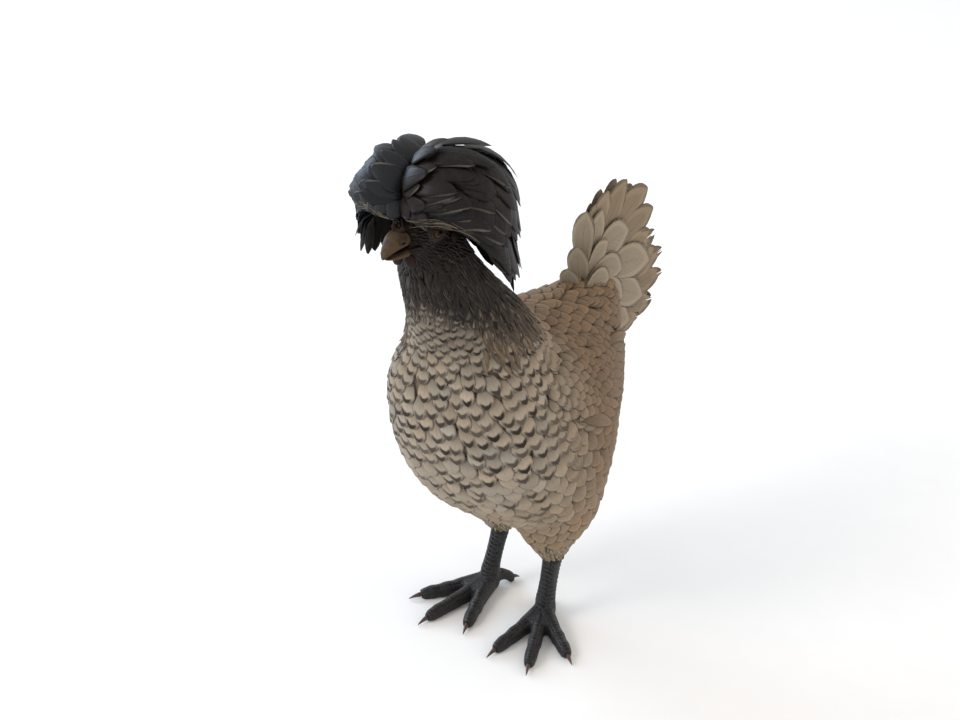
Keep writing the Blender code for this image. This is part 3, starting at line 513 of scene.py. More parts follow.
class Coat:
    def __init__(self, name, centre):
        self.name = name
        self.centre = np.array(centre, float)
        self.points, self.faces, self.vanes, self.bakes, self.tints, self.marks = [], [], [], [], [], []
        self.count = 0

    def unwrap(self, roots):
        # the roots' places opened out flat: a sphere of directions folded to a square
        way = roots - self.centre
        way = way / np.abs(way).sum(1, keepdims=True)
        x, y, z = way.T
        under = z < 0
        u = np.where(under, (1 - np.abs(y)) * np.where(x < 0, -1, 1), x)
        v = np.where(under, (1 - np.abs(x)) * np.where(y < 0, -1, 1), y)
        return np.stack([u, v], 1) * 0.49 + 0.5

    def add(self, tracks, facing, halves, shape, tint, mark, rng):
        t = np.array(shape["stations"])
        tracks, facing = readAlong(tracks, t), unit(readAlong(facing, t))
        count, stations = tracks.shape[:2]
        columns = shape["columns"]
        u = np.linspace(-1, 1, columns + 1)
        ahead = unit(np.gradient(tracks, t, axis=1))
        across = unit(np.cross(ahead, facing))
        up = np.cross(across, ahead)
        length = np.linalg.norm(np.diff(tracks, axis=1), axis=2).sum(1)
        width = halves[:, None] * shape["breadth"](t)
        spread = width[:, :, None] * u
        camber = shape["camber"] * spread * u * np.sign(spread + 1e-12) * np.sign(u)
        slide = shape["bow"] * (t**2)[None, :, None] * (u**2) * np.ones((count, 1, 1))
        fray = shape.get("fray", 0) * rng.uniform(0, 1, (count, 1, columns + 1)) * (t**4)[None, :, None]
        slide = (slide + fray) * length[:, None, None]
        top = tracks[:, :, None] + across[:, :, None] * spread[..., None]
        top -= up[:, :, None] * np.abs(camber)[..., None] + ahead[:, :, None] * slide[..., None]
        fuller = 0.35 + 0.65 * np.sin(np.clip(t + 0.12, 0, 1) * math.pi)
        body = np.sqrt(np.clip(1 - u**2, 0, 1)) * fuller[:, None]
        under = top - up[:, :, None] * (shape["thick"] * body)[None, ..., None]
        inner = under[:, 1:-1, 1:-1].reshape(count, -1, 3)
        points = np.concatenate([top.reshape(count, -1, 3), inner], 1)
        topIndex = np.arange(stations * (columns + 1)).reshape(stations, columns + 1)
        underIndex = topIndex.copy()
        inside = np.arange((stations - 2) * (columns - 1)).reshape(stations - 2, columns - 1)
        underIndex[1:-1, 1:-1] = inside + topIndex.size
        quads = []
        for index, turn in ((topIndex, 1), (underIndex, -1)):
            corners = [index[:-1, :-1], index[:-1, 1:], index[1:, 1:], index[1:, :-1]]
            quads.append(np.stack(corners, -1).reshape(-1, 4)[:, ::turn])
        quads = np.concatenate(quads)
        each = points.shape[1]
        uv = np.stack(np.broadcast_arrays((u * 0.5 + 0.5)[None, :], t[:, None]), -1)
        uv = np.concatenate([uv.reshape(-1, 2), uv[1:-1, 1:-1].reshape(-1, 2)])
        offsets = self.count + np.arange(count)[:, None, None] * each
        self.faces.append((quads[None] + offsets).reshape(-1, 4))
        self.points.append(points.reshape(-1, 3))
        self.vanes.append(np.tile(uv, (count, 1)))
        home = self.unwrap(tracks[:, min(2, stations - 1)])
        self.bakes.append((home[:, None] + (uv[None] - 0.5) * 0.003).reshape(-1, 2))
        self.tints.append(np.repeat(tint, each, axis=0))
        self.marks.append(np.repeat(mark, each, axis=0))
        self.count += count * each

    def build(self, material, nodes):
        points, faces = toRow(np.concatenate(self.points)), np.concatenate(self.faces)
        mesh = bpy.data.meshes.new(self.name)
        mesh.from_pydata(points.tolist(), [], faces.tolist())
        corners = np.zeros(len(mesh.loops), int)
        mesh.loops.foreach_get("vertex_index", corners)
        for name, values in (("vane", self.vanes), ("OFBake", self.bakes)):
            layer = mesh.uv_layers.new(name=name)
            layer.data.foreach_set("uv", np.concatenate(values)[corners].ravel())
        for name, values in (("tint", self.tints), ("mark", self.marks)):
            values = np.concatenate(values)
            layer = mesh.color_attributes.new(name, "FLOAT_COLOR", "POINT")
            layer.data.foreach_set("color", np.hstack([values, np.ones((len(values), 1))]).ravel())
        mesh.materials.append(bpy.data.materials[material])
        mesh.shade_smooth()
        made = bpy.data.objects.new(self.name, mesh)
        bpy.context.scene.collection.objects.link(made)
        print(self.name, len(faces) * 2, "triangles")
        return dress(made, nodes)


def evenly(gap):
    return lambda points: np.full(len(points), gap)


def tipLift(spec, count, rng):
    # how far each tip stands off the surface
    least, more = spec["lift"]
    return least + more * rng.random(count)


def laidTracks(surface, roots, lengths, stations, sink, lift, sway, rng, direction=lie):
    # middle lines that follow the surface from a sunken root to a tip just off it
    places, normals = surface.nearest(roots)
    turn = rng.normal(0, sway, len(roots))[:, None]
    tracks, facing = [places], [normals]
    for _ in range(stations - 1):
        way = direction(places, normals)
        way = unit(way + np.cross(normals, way) * turn)
        places, normals = surface.nearest(places + way * (lengths / (stations - 1))[:, None])
        tracks.append(places)
        facing.append(normals)
    tracks, facing = np.stack(tracks, 1), np.stack(facing, 1)
    t = np.linspace(0, 1, stations)[None, :, None]
    sink = np.full(len(roots), sink)[:, None, None]
    climb = lift[:, None, None] - sink
    rise = climb / lengths[:, None, None]
    lean = unit(facing - rise * unit(np.gradient(tracks, axis=1)))
    return tracks + facing * (sink + climb * t**0.8), lean


def shaded(tint, rng, amount=0.08):
    tone = 1 + rng.normal(0, amount, (len(tint), 1))
    warm = rng.normal(0, amount * 0.3, (len(tint), 1))
    return np.clip(tint * tone * (1 + warm * np.array([1, 0, -1])), 0.004, 1)


# The body

fleshNodes = ["torso", "neck", "head", "thigh_left", "thigh_right"]
skinSpec = {
    "voxel": 1.5, "swell": 0.25, "rounds": 36,
    "face": 0.35, "neck": 2.8, "torso": 3.4, "hem": 1.2,
    "crestCore": 0.36, "domes": ((13, 10, 16), (38, 40, 40)),
    "tailCore": ((0, 102, 211), (7, 28, 27)),
}


def fleshSurface():
    obj = objectFrom(mergedCopy(fleshNodes, skinSpec["swell"]), "flesh")
    remeshed(obj, skinSpec["voxel"])
    surface = Surface(obj, skinSpec["rounds"])
    return surface, obj


def mound(bm, centre, radii, turn=0, around=32, up=20):
    made = bmesh.ops.create_uvsphere(bm, u_segments=around, v_segments=up, radius=mm)["verts"]
    bmesh.ops.scale(bm, vec=radii, verts=made)
    bmesh.ops.rotate(bm, matrix=Matrix.Rotation(math.radians(turn), 3, "Z"), verts=made)
    bmesh.ops.translate(bm, vec=Vector(toRow(centre)), verts=made)


def makeSkin(surface, obj):
    _, _, z = surface.points.T
    depth = skinSpec["torso"] + (skinSpec["neck"] - skinSpec["torso"]) * ease(z, 225, 260)
    depth = depth + (skinSpec["face"] - depth) * ease(z, 304, 318)
    depth = depth + (skinSpec["hem"] - depth) * ease(-z, -75, -52)
    sunk = toRow(surface.points - surface.normals * depth[:, None])
    obj.data.vertices.foreach_set("co", sunk.ravel())
    bm = bmesh.new()
    bm.from_mesh(obj.data)
    (cx, cy, cz), radii = skinSpec["domes"]
    for side in (1, -1):
        mound(bm, fromHead((side * cx, cy, cz)), [r * skinSpec["crestCore"] for r in radii])
    mound(bm, *skinSpec["tailCore"])
    bpy.data.objects.remove(obj)
    skin = objectFrom(bm, "skin", "skin")
    remeshed(skin, skinSpec["voxel"], 2)
    skin.data.name = "skin"
    skin.data.shade_smooth()
    tint, dark, _, _ = markings(birdPoints(skin.data))
    layer = skin.data.color_attributes.new("tint", "FLOAT_COLOR", "POINT")
    layer.data.foreach_set("color", np.hstack([tint, dark[:, None]]).ravel())
    print("skin", len(skin.data.polygons) * 2, "triangles")
    return dress(skin, fleshNodes)


def skinFinish():
    finish = Finish("skin", Roughness=0.62, Specular_IOR_Level=0.2)
    fine, broad = finish.noise(900, 3), finish.noise(160, 3)
    mottle = finish.blend(broad, (0.80, 0.76, 0.74), (0.5, 0.44, 0.42))
    tone = finish.multiplied(finish.painted("tint"), mottle)
    finish.bump(fine + broad, 0.5, 0.0004)
    finish.wear(Base_Color=tone, Roughness=0.55 + fine * 0.2)


plumageSpec = {
    "outline": (0.075, 0.054, 0.038), "crescent": (0.013, 0.008, 0.005),
    "rootShade": 0.35, "rachis": 0.10, "barbs": 0.05, "line": 0.085,
}
tailPlumageSpec = {
    **plumageSpec, "outline": (0.095, 0.074, 0.058), "rootShade": 0.15, "barbs": 0.03, "line": 0.04,
}


def tipEdge(side, along):
    # how far past the broadest part, and how far in from the rounded tip's edge
    far = ((along - 0.55) / 0.45).atLeast(0)
    return far, 1 - (side * side + far * far).root()


def plumageFinish(name, spec):
    # pale vanes with a dark crescent near the tip, a pale rim and a thin dark outline
    finish = Finish(name, Roughness=0.7, Specular_IOR_Level=0.18, Sheen_Weight=0.04, Sheen_Roughness=0.5)
    across, along = finish.vane()
    crescent, rim, _ = finish.split(finish.painted("mark"), "SeparateColor")
    tint = finish.painted("tint")
    side = abs(across)
    far, edge = tipEdge(side, along)
    ragged = finish.noise(700, 2) - 0.5
    barbs = (along * 60 - side * 26).sine()
    shade = 1 - (1 - along.between(0.25, 0.78)) * spec["rootShade"]
    grain = 1 + barbs * spec["barbs"] + ragged * 0.16
    grey = finish.node("CombineColor", {}, {channel: shade * grain for channel in range(3)})
    tone = finish.multiplied(tint, grey)
    quill = (1 - side.between(0.03, 0.10)) * spec["rachis"] * 4
    tone = finish.blend(quill * (1 - far), tone, finish.multiplied(tint, (0.72, 0.66, 0.6)))
    pale = (edge + ragged * 0.10).between(0.36, 0.20) * rim * 0.55
    tone = finish.blend(pale, tone, finish.multiplied(tint, (1.45, 1.45, 1.42)))
    tipward = along.between(0.60, 0.80)
    moon = (edge + ragged * 0.30 + barbs * 0.03).between(0.54, 0.34) * tipward
    moon = moon * (1 - side.between(0.50, 0.95) * 0.75)
    tone = finish.blend(moon * crescent, tone, spec["crescent"])
    line = (edge + ragged * 0.05).between(spec["line"], spec["line"] * 0.4) * along.between(0.2, 0.45)
    tone = finish.blend(line * rim * 0.75, tone, spec["outline"])
    ridge = (1 - side.between(0.0, 0.14)) * 0.7
    finish.bump(barbs * 0.35 + ridge + ragged * 0.8, 0.55, 0.00035)
    finish.wear(Base_Color=tone, Roughness=0.62 + ragged * 0.25)


roundStations = (0, 0.28, 0.50, 0.68, 0.81, 0.90, 0.96, 0.99, 1)
bodySpec = {
    "scale": {
        "columns": 6, "stations": roundStations, "breadth": rounded,
        "camber": 0.13, "bow": 0.03, "thick": 0.35, "fray": 0.035,
    },
    "vane": {
        "columns": 6, "stations": roundStations, "breadth": rounded,
        "camber": 0.15, "bow": 0.03, "thick": 0.35, "fray": 0.03,
    },
    "saddle": {
        "columns": 4, "stations": roundStations, "breadth": lambda t: rounded(t, 0.4, 0.12, 0.45),
        "camber": 0.08, "bow": 0.03, "thick": 0.35, "fray": 0.05,
    },
    # lengths and half breadths in spacings: the base, then what the rear, the saddle and the fluff add
    "lengths": (2.5, 0.5, 0.9, 0.5), "halves": (0.88, 0.04), "sink": -0.12, "lift": (0.2, 0.3),
    "stations": 7, "sway": 0.06,
    # root, tip and half breadth of the feather by the wing's lower edge
    "crease": ((63.8, -30, 178), (66.8, -26, 162.5), 5.4),
}


def bodySpacing(points):
    _, y, z = points.T
    gap = 4.6 + 3.2 * ease(-z, -268, -190)
    gap = gap + 0.9 * ease(y, -60, 10)
    return gap - 1.6 * ease(y, 0, 40) * ease(z, 195, 215)


def bodyWanted(points):
    _, y, z = points.T
    return ((z < collarHeight(y) + 9) | (y > -30)) & (z > 57)


def bodyFeathers(surface):
    rng = np.random.default_rng(11)
    roots = surface.scattered(bodySpacing, bodyWanted, 5)
    x, y, z = roots.T
    gap, count = bodySpacing(roots), len(roots)
    rear = ease(y, -35, 35)
    saddle = rear * ease(z, 195, 215)
    fluff = ease(y, 70, 95) * (z < 175)
    base, rearMore, saddleMore, fluffMore = bodySpec["lengths"]
    spans = base + rearMore * rear + saddleMore * saddle + fluffMore * fluff
    lengths = gap * spans * rng.uniform(0.92, 1.1, count)
    base, saddleMore = bodySpec["halves"]
    halves = gap * (base + saddleMore * saddle) * rng.uniform(0.88, 1.08, count)
    heights = (bodySpec["sink"] * lengths, tipLift(bodySpec, count, rng))
    stations, sway = bodySpec["stations"], bodySpec["sway"]
    tracks, facing = laidTracks(surface, roots, lengths, stations, *heights, sway, rng)
    tint, dark, crescent, rim = markings(tracks[:, -2])
    tint = shaded(tint, rng)
    # the crescents thin out toward the belly and the right
    kept = rng.random(count) < 1.1 - 0.85 * ease(-z, -205, -140) - 0.25 * ease(-x, 10, 45)
    crescent = crescent * rng.uniform(0.75, 1.0, count) * (0.12 + 0.88 * kept)
    mark = np.stack([crescent, rim * rng.uniform(0.75, 1, count), dark], 1)
    front = (y < -20) & (z > 70)
    swept = ~front & (z > 200)
    parts = {
        "breast_feathers": (("scale", front),),
        "flank_feathers": (("vane", ~front & ~swept), ("saddle", swept)),
    }
    for name, groups in parts.items():
        coat = Coat(name, (0, -20, 165))
        for shape, mask in groups:
            picked = (values[mask] for values in (tracks, facing, halves))
            coat.add(*picked, bodySpec[shape], tint[mask], mark[mask], rng)
        if name == "flank_feathers":
            coverCrease(coat, rng)
        coat.build("palePlumage", fleshNodes[:1])


def coverCrease(coat, rng):
    # a feather a side where the front lower edge of the wing leaves the flank
    root, tip, half = bodySpec["crease"]
    share = np.linspace(0, 1, bodySpec["stations"])[:, None]
    path = np.array(root) + (np.array(tip) - np.array(root)) * share
    tracks = np.array([path * (side, 1, 1) for side in (1, -1)])
    facing = np.array([np.tile(unit(np.array((side, -0.1, 0.15))), (len(share), 1)) for side in (1, -1)])
    tint, dark, _, rim = markings(tracks[:, -2])
    mark = np.stack([dark * 0, rim, dark], 1)
    coat.add(tracks, facing, np.full(2, half), bodySpec["vane"], tint, mark, rng)


fluffSpec = {
    "gap": 3.0, "colour": (0.34, 0.285, 0.205), "heights": (50.5, 66), "lowest": 45.5,
    "lengths": (6.5, 10.5), "halves": (1.3, 2.1), "sink": -0.6, "lift": (0.5, 0.7), "sway": 0.22,
    "shape": {
        "columns": 2, "stations": (0, 0.25, 0.5, 0.75, 0.9, 1), "breadth": pointed,
        "camber": 0.3, "bow": 0.02, "thick": 0.3, "fray": 0.05,
    },
}


def hemFluff(surface):
    # short creamy down round the foot of each thigh
    spec = fluffSpec
    rng = np.random.default_rng(15)
    low, high = spec["heights"]

    def wanted(points):
        return (points[:, 2] < high) & (points[:, 2] > low)

    roots = surface.scattered(evenly(spec["gap"]), wanted, 16)
    count = len(roots)
    lengths = rng.uniform(*spec["lengths"], count)
    heights = (spec["sink"], tipLift(spec, count, rng))
    tracks, facing = laidTracks(surface, roots, lengths, 6, *heights, spec["sway"], rng)
    tracks[:, :, 2] = np.maximum(tracks[:, :, 2], spec["lowest"] + rng.uniform(0, 2, (count, 1)))
    coat = Coat("hem_fluff", (0, 10, 75))
    mark = np.stack([np.full(count, 0.4), np.full(count, 0.2), np.zeros(count)], 1)
    tint = shaded(np.array(spec["colour"]) * np.ones((count, 1)), rng, 0.12)
    coat.add(tracks, facing, rng.uniform(*spec["halves"], count), spec["shape"], tint, mark, rng)
    coat.build("hackle", ["thigh_left", "thigh_right"])


# Neck: narrow strands, dark with pale edges, that spread over the shoulder

neckSpec = {
    "shape": {
        "columns": 2, "stations": (0, 0.2, 0.45, 0.7, 0.88, 1), "breadth": pointed,
        "camber": 0.3, "bow": 0.02, "thick": 0.35,
    },
    # lengths and half breadths in front, and what is added behind
    "strand": {"gap": 2.7, "lengths": (11, 10), "halves": (2.0, 0.5), "lift": (0.4, 0.4), "sway": 0.16},
    "cape": {
        "gap": 3.6, "lengths": (12, 20), "halves": (1.8, 2.6), "lift": (0.7, 0.4), "sway": 0.14,
        "tints": ((0.026, 0.018, 0.012), (0.17, 0.125, 0.083)),
    },
}


def hackleFinish():
    finish = Finish("hackle", Roughness=0.55, Specular_IOR_Level=0.22)
    across, along = finish.vane()
    rim, pale, _ = finish.split(finish.painted("mark"), "SeparateColor")
    tint = finish.painted("tint")
    side = abs(across)
    ragged = finish.noise(800, 2) - 0.5
    barbs = (along * 70 - side * 30).sine()
    edge = (side + ragged * 0.3).between(0.45, 0.85) * along.between(0.15, 0.5)
    tone = finish.blend(edge * rim, tint, (0.26, 0.200, 0.140))
    tone = finish.blend(along.between(0.5, 0.15) * pale, tone, (0.20, 0.155, 0.110))
    finish.bump(barbs * 0.3 + ragged + (1 - side.between(0, 0.3)), 0.5, 0.0003)
    finish.wear(Base_Color=tone, Roughness=0.5 + ragged * 0.2)


def neckWanted(points):
    _, y, z = points.T
    return (z > collarHeight(y) - 1) & (z < 324) & (y < -40) & ~((y < -122) & (z > 306))


def capeWanted(points):
    x, y, z = points.T
    hem = 249 + 5 * np.sin(0.3 * x + 1) + 3 * np.sin(0.5 * y)
    return (z > hem) & (z < 276) & (y > -90) & (y < -34)


def neckStrands(surface, coat, rng):
    spec = neckSpec["strand"]
    roots = surface.scattered(evenly(spec["gap"]), neckWanted, 7)
    _, y, z = roots.T
    count = len(roots)
    tint, dark, _, _ = markings(roots)
    behind = ease(y + 0.3 * (z - 280), -100, -70)
    lengths, halves = (
        (base + more * behind) * rng.uniform(0.85, 1.15, count)
        for base, more in (spec["lengths"], spec["halves"])
    )
    heights = (-0.1 * lengths, tipLift(spec, count, rng))
    tracks, facing = laidTracks(surface, roots, lengths, 6, *heights, spec["sway"], rng)
    rim = np.where(rng.random(count) < 0.3, 0.5, 0.12) + 0.3 * (1 - dark)
    mark = np.stack([rim, (1 - dark) * 0.4, dark], 1)
    coat.add(tracks, facing, halves, neckSpec["shape"], shaded(tint * 0.8, rng, 0.18), mark, rng)


def capeStrands(surface, coat, rng):
    # the cape over the shoulders, paler toward its hem
    spec = neckSpec["cape"]
    roots = surface.scattered(evenly(spec["gap"]), capeWanted, 8)
    count = len(roots)
    lengths = rng.uniform(*spec["lengths"], count)
    halves = rng.uniform(*spec["halves"], count)
    heights = (-0.6, tipLift(spec, count, rng))
    tracks, facing = laidTracks(surface, roots, lengths, 7, *heights, spec["sway"], rng)
    tint = mixed(*spec["tints"], ease(-roots[:, 2], -274, -250)[:, None])
    tint = tint * rng.uniform(0.55, 1.35, (count, 1))
    mark = np.stack([rng.uniform(0.5, 0.9, count), np.full(count, 0.6), np.zeros(count)], 1)
    coat.add(tracks, facing, halves, neckSpec["shape"], tint, mark, rng)


def neckFeathers(surface):
    rng = np.random.default_rng(21)
    coat = Coat("neck_hackles", (0, -90, 285))
    neckStrands(surface, coat, rng)
    capeStrands(surface, coat, rng)
    coat.build("hackle", ["neck"])


# Crest: two domes of leaf-shaped feathers that part over the middle of the head

crestSpec = {
    "centre": (13, 10, 8), "radii": (38, 40, 40), "stations": 10, "steps": 16,
    "reach": {"left": (1.02, 1.0, 1.18, 1.0), "right": (0.95, 1.0, 0.94, 1.12)},
    # over the dome: how far out, first and last turn, count, length, half breadth
    "rows": (
        (-26, 40, 150, 6, 38, 7.6), (-20, 16, 66, 5, 30, 6.0), (-15, 24, 176, 9, 46, 8.0),
        (-3, 14, 190, 10, 50, 8.0), (9, 12, 184, 12, 51, 7.8), (3, 74, 168, 7, 50, 8.0),
        (21, 13, 172, 10, 46, 7.0), (31, 24, 160, 8, 38, 6.2),
    ),
    # round the rim: first and last turn, count, height, length, half breadth
    "skirts": ((-46, 116, 15, -2, 37, 5.2), (-38, 122, 13, -9, 32, 5.0)),
    # over the brow: innermost and outermost, count, height, length, half breadth, hang
    "fringes": (
        (-14, 6, 4, 33, 37, 8.0, 0.40), (-16, 12, 6, 24, 37, 8.0, 0.30), (-15, 18, 7, 17, 33, 7.2, 0.16),
        (-13, 22, 7, 11, 30, 5.2, 0.0), (-13, -5, 3, 21, 21, 5.6, 1.7),
    ),
    "lock": {"turns": (52, 57, 62), "lengths": (38, 52, 37), "height": -10, "half": 5.6},
    "brow": {1: 12, -1: 4}, "parting": (-4.5, -4.0),
    # the right lobe's tint is bluer and lighter than the left's: painted cool sheen where the cool lamp
    # falls on it
    "tint": {"left": (0.0076, 0.0046, 0.0030), "right": (0.0140, 0.0155, 0.0170)},
    "shape": {
        "columns": 6, "stations": (0, 0.12, 0.26, 0.4, 0.54, 0.68, 0.8, 0.89, 0.95, 1),
        "breadth": lambda t: pointed(t, 0.62, 0.2, 0.10, 0.55), "camber": 0.13, "bow": 0.02, "thick": 0.5,
    },
    "rise": ((0, 0.28, 0.7, 1), (0.66, 0.88, 0.965, 1.005)), "flare": {"left": 0.03, "right": 0.09},
    "shingle": 4, "breadth": 1.08, "under": 0.88,
}


def onDome(place):
    x, y, z = place
    rx, ry, rz = crestSpec["radii"]
    size = math.sqrt((x / rx) ** 2 + (y / ry) ** 2 + (max(z, 0) / rz) ** 2)
    return np.array((x / size, y / size, z / size if z > 0 else z))


def domeFacing(place):
    x, y, z = place
    rx, ry, rz = crestSpec["radii"]
    return unit(np.array((x / rx**2, y / ry**2, max(z, 0) / rz**2)))


def crestFlow(place, side, hang):
    behind = place[1] / crestSpec["radii"][1]
    t = min(max((behind + 0.95) / 1.05, 0), 1)
    droop = t * t * (3 - 2 * t) * (2.1 - 1.2 * max(place[2], 0) / crestSpec["radii"][2])
    way = np.array((side * (1 - 0.6 * max(behind, 0)), 0.55, -0.04 - droop - hang))
    normal = domeFacing(place)
    return unit(way - normal * way.dot(normal))


def crestSeeds(side):
    # where each feather starts, its length, half breadth and hang, and how deep it lies
    rx, ry, rz = crestSpec["radii"]
    for out, first, last, count, length, half in crestSpec["rows"]:
        hoop = math.sqrt(1 - (out / rx) ** 2)
        for turn in np.radians(np.linspace(first, last, count)):
            seed = (side * out, -ry * hoop * math.cos(turn), rz * hoop * math.sin(turn))
            for depth in (crestSpec["under"], 1):
                yield seed, length, half, 0, depth
    for first, last, count, height, length, half in crestSpec["skirts"]:
        for turn in np.radians(np.linspace(first, last, count)):
            brow = crestSpec["brow"][side] * (1 - ease(math.degrees(turn), -48, -12))
            seed = (side * rx * math.cos(turn), ry * math.sin(turn), height + brow)
            yield seed, length, half, 0, 1
    for inner, outer, count, height, length, half, hang in crestSpec["fringes"]:
        for out in np.linspace(inner, outer, count):
            front = math.sqrt(1 - (out / rx) ** 2 - (height / rz) ** 2)
            yield (side * out, -ry * front, height), length, half, hang, 1
    lock = crestSpec["lock"]
    if side > 0:
        for turn, length in zip(np.radians(lock["turns"]), lock["lengths"]):
            seed = (side * rx * math.cos(turn), ry * math.sin(turn), lock["height"])
            yield seed, length, lock["half"], 0, 1


def rolled(normals, ahead, degrees):
    turn = math.radians(degrees)
    ahead = unit(ahead)
    level = ahead * dot(ahead, normals) * (1 - math.cos(turn))
    return normals * math.cos(turn) + np.cross(ahead, normals) * math.sin(turn) + level


def crestPath(seed, side, hang, stride):
    # a walk over the dome, read at even stations
    track = [onDome(seed)]
    for _ in range(crestSpec["steps"]):
        track.append(onDome(track[-1] + crestFlow(track[-1], side, hang) * stride))
    return readThrough(np.linspace(0, 1, crestSpec["stations"]), np.linspace(0, 1, len(track)), track)


def crestTracks(name, side, centre, rng):
    wide, deep, tall, low = crestSpec["reach"][name]
    shares = np.linspace(0, 1, crestSpec["stations"])
    tracks, facing, halves = [], [], []
    for seed, length, half, hang, depth in crestSeeds(side):
        seed = np.array(seed) + rng.normal(0, 0.9, 3)
        stride = length * rng.uniform(0.88, 1.1) / crestSpec["steps"]
        rise = depth * rng.uniform(0.98, 1.01)
        path = crestPath(seed, side, hang, stride)
        normals = np.array([domeFacing(p) for p in path])
        height = np.interp(shares, *crestSpec["rise"]) * rise
        height = height + shares**3 * rng.uniform(0, crestSpec["flare"][name])
        above = path[:, 2] > 0
        path = path * np.stack([height, height, np.where(above, height, 1.0)], 1)
        path = path * (wide, deep, 1)
        path[:, 2] *= np.where(above, tall, low)
        path = path + centre
        path[:, 0] = side * np.maximum(path[:, 0] * side, 1.2)
        tracks.append(fromHead(path))
        roll = -crestSpec["shingle"] * side * rng.uniform(0.7, 1.3)
        facing.append(rolled(normals, np.gradient(path, axis=0), roll))
        halves.append(half * crestSpec["breadth"] * rng.uniform(0.9, 1.12))
    return np.array(tracks), np.array(facing), np.array(halves)


def crestFeathers():
    for name, side in sides:
        rng = np.random.default_rng(31 + side)
        centre = np.array(crestSpec["centre"]) * (side, 1, 1)
        tracks, facing, halves = crestTracks(name, side, centre, rng)
        coat = Coat("crest_feathers_" + name, fromHead(centre))
        count = len(halves)
        tint = np.array(crestSpec["tint"][name]) * rng.uniform(0.6, 1.4, (count, 1))
        # how much painted bluish sheen each feather gets in its colour, most on the right lobe, where the
        # cool lamp falls
        paintedSheen = 0.35 + 0.65 * (side < 0)
        rim = np.where(rng.random(count) < 0.35, rng.uniform(0.4, 0.9, count), 0.03)
        mark = np.stack([rim, rng.random(count) * paintedSheen, np.zeros(count)], 1)
        coat.add(tracks, facing, halves, crestSpec["shape"], tint, mark, rng)
        coat.points[-1] = leantParting(coat.points[-1], side)
        coat.build("crest", ["crest_" + name])


def leantParting(points, side):
    # neither lobe crosses the middle, and the parting bends forward and to the right over the brow
    local = (points - headCentre) @ headTurn
    local[:, 0] = side * np.maximum(local[:, 0] * side, 0.3)
    x, y, z = local.T
    share = ease(z, 6, 32) * (1 - ease(np.abs(x), 16, 44)) * (1 - ease(y, 10, 36))
    local[:, :2] += share[:, None] * crestSpec["parting"]
    return fromHead(local)


def crestFinish():
    # near-black satin whose gloss is bluish, with painted bluish sheen in some feathers' colour, painted
    # shade toward the roots, and a thin pale line along some edges
    finish = Finish("crest", Specular_IOR_Level=0.17, Specular_Tint=(0.80, 0.90, 1.0), Coat_Roughness=0.30)
    across, along = finish.vane()
    rim, tone, _ = finish.split(finish.painted("mark"), "SeparateColor")
    tint = finish.painted("tint")
    side = abs(across)
    ragged = finish.noise(600, 2) - 0.5
    streaks = finish.noise(260, 3)
    barbs = (along * 120 - side * 50).sine()
    colour = finish.blend(streaks.between(0.35, 0.7) * 0.5, tint, (0.019, 0.011, 0.007))
    # painted bluish sheen, as strong as the mark's green channel
    colour = finish.blend(tone * 0.3, colour, (0.007, 0.009, 0.012))
    # darker toward each feather's root: painted shade where the feathers overlap
    colour = finish.blend(along.between(0.4, 0.1), colour, (0.003, 0.0025, 0.002))
    _, edge = tipEdge(side, along)
    line = (edge + ragged * 0.02).between(0.030, 0.012) * along.between(0.3, 0.55)
    colour = finish.blend(line * across.between(-0.2, 0.2) * rim, colour, (0.115, 0.096, 0.078))
    quill = 1 - side.between(0.02, 0.09)
    finish.bump(barbs * 0.10 + quill * 0.7 + ragged * 0.4 + streaks * 0.8, 0.4, 0.0004)
    finish.wear(Base_Color=colour, Roughness=0.40 + streaks * 0.16, Coat_Weight=0.05 + streaks * 0.10)


# Wings: small soft coverts over the folded flight feathers

wingSpec = {
    "upper": ((-62, -20, 40, 95), (214, 229, 206, 179)),
    "lower": ((-62, -30, 15, 95), (204, 182, 163, 163)),
    "gap": 5.3, "length": (13, 19), "half": 4.4, "bulge": 1.7, "way": (0, 0.95, -0.42),
    # first and last root, first and last tip, half breadth, lift, count
    "flights": (
        (((-34, 186), (36, 198)), ((10, 160), (90, 180)), 5.0, 2.9, 10),
        (((20, 167), (38, 182)), ((78, 157), (99, 171)), 4.0, 2.5, 6),
    ),
    "start": 0.4, "stations": 8,
    "flight": {
        "columns": 4, "stations": roundStations, "breadth": lambda t: rounded(t, 0.4, 0.12, 0.5),
        "camber": 0.12, "bow": 0.03, "thick": 0.4, "fray": 0.03,
    },
    "covert": {
        "columns": 4, "stations": roundStations, "breadth": lambda t: rounded(t, 0.4, 0.12, 0.5),
        "camber": 0.10, "bow": 0.03, "thick": 0.35, "fray": 0.05,
    },
}


def wingInside(y, z):
    upper, lower = np.interp(y, *wingSpec["upper"]), np.interp(y, *wingSpec["lower"])
    within = ease(z, lower - 2, lower + 10) * ease(upper - z, -2, 10)
    return within * ease(y, -62, -40) * ease(-y, -99, -88)


def wingLie(points, normals):
    way = lie(points, normals) * 0.45 + np.array(wingSpec["way"]) * 0.55
    return unit(way - normals * dot(way, normals))


def flightFeathers(surface, side, rng):
    tracks, facing, halves = [], [], []
    for roots, tips, half, lift, count in wingSpec["flights"]:
        for i in range(count):
            t = (i + rng.uniform(-0.2, 0.2)) / (count - 1)
            root, tip = mixed(*roots, t), mixed(*tips, t)
            length = rng.uniform(0.9, 1.08)
            path, normals = [], []
            for share in np.linspace(0, 1, wingSpec["stations"]):
                y, z = root + (tip - root) * share * length
                place, normal = surface.struck(y, z + 1.6 * math.sin(math.pi * share), side)
                path.append(place + normal * mixed(wingSpec["start"], lift, share**0.8))
                normals.append(normal)
            tracks.append(path)
            facing.append(unit(np.array(normals)))
            halves.append(half * rng.uniform(0.92, 1.08))
    tracks = np.array(tracks)
    for _ in range(2):
        tracks[:, 1:-1] = (tracks[:, :-2] + tracks[:, 1:-1] * 2 + tracks[:, 2:]) / 4
    return tracks, np.array(facing), np.array(halves)


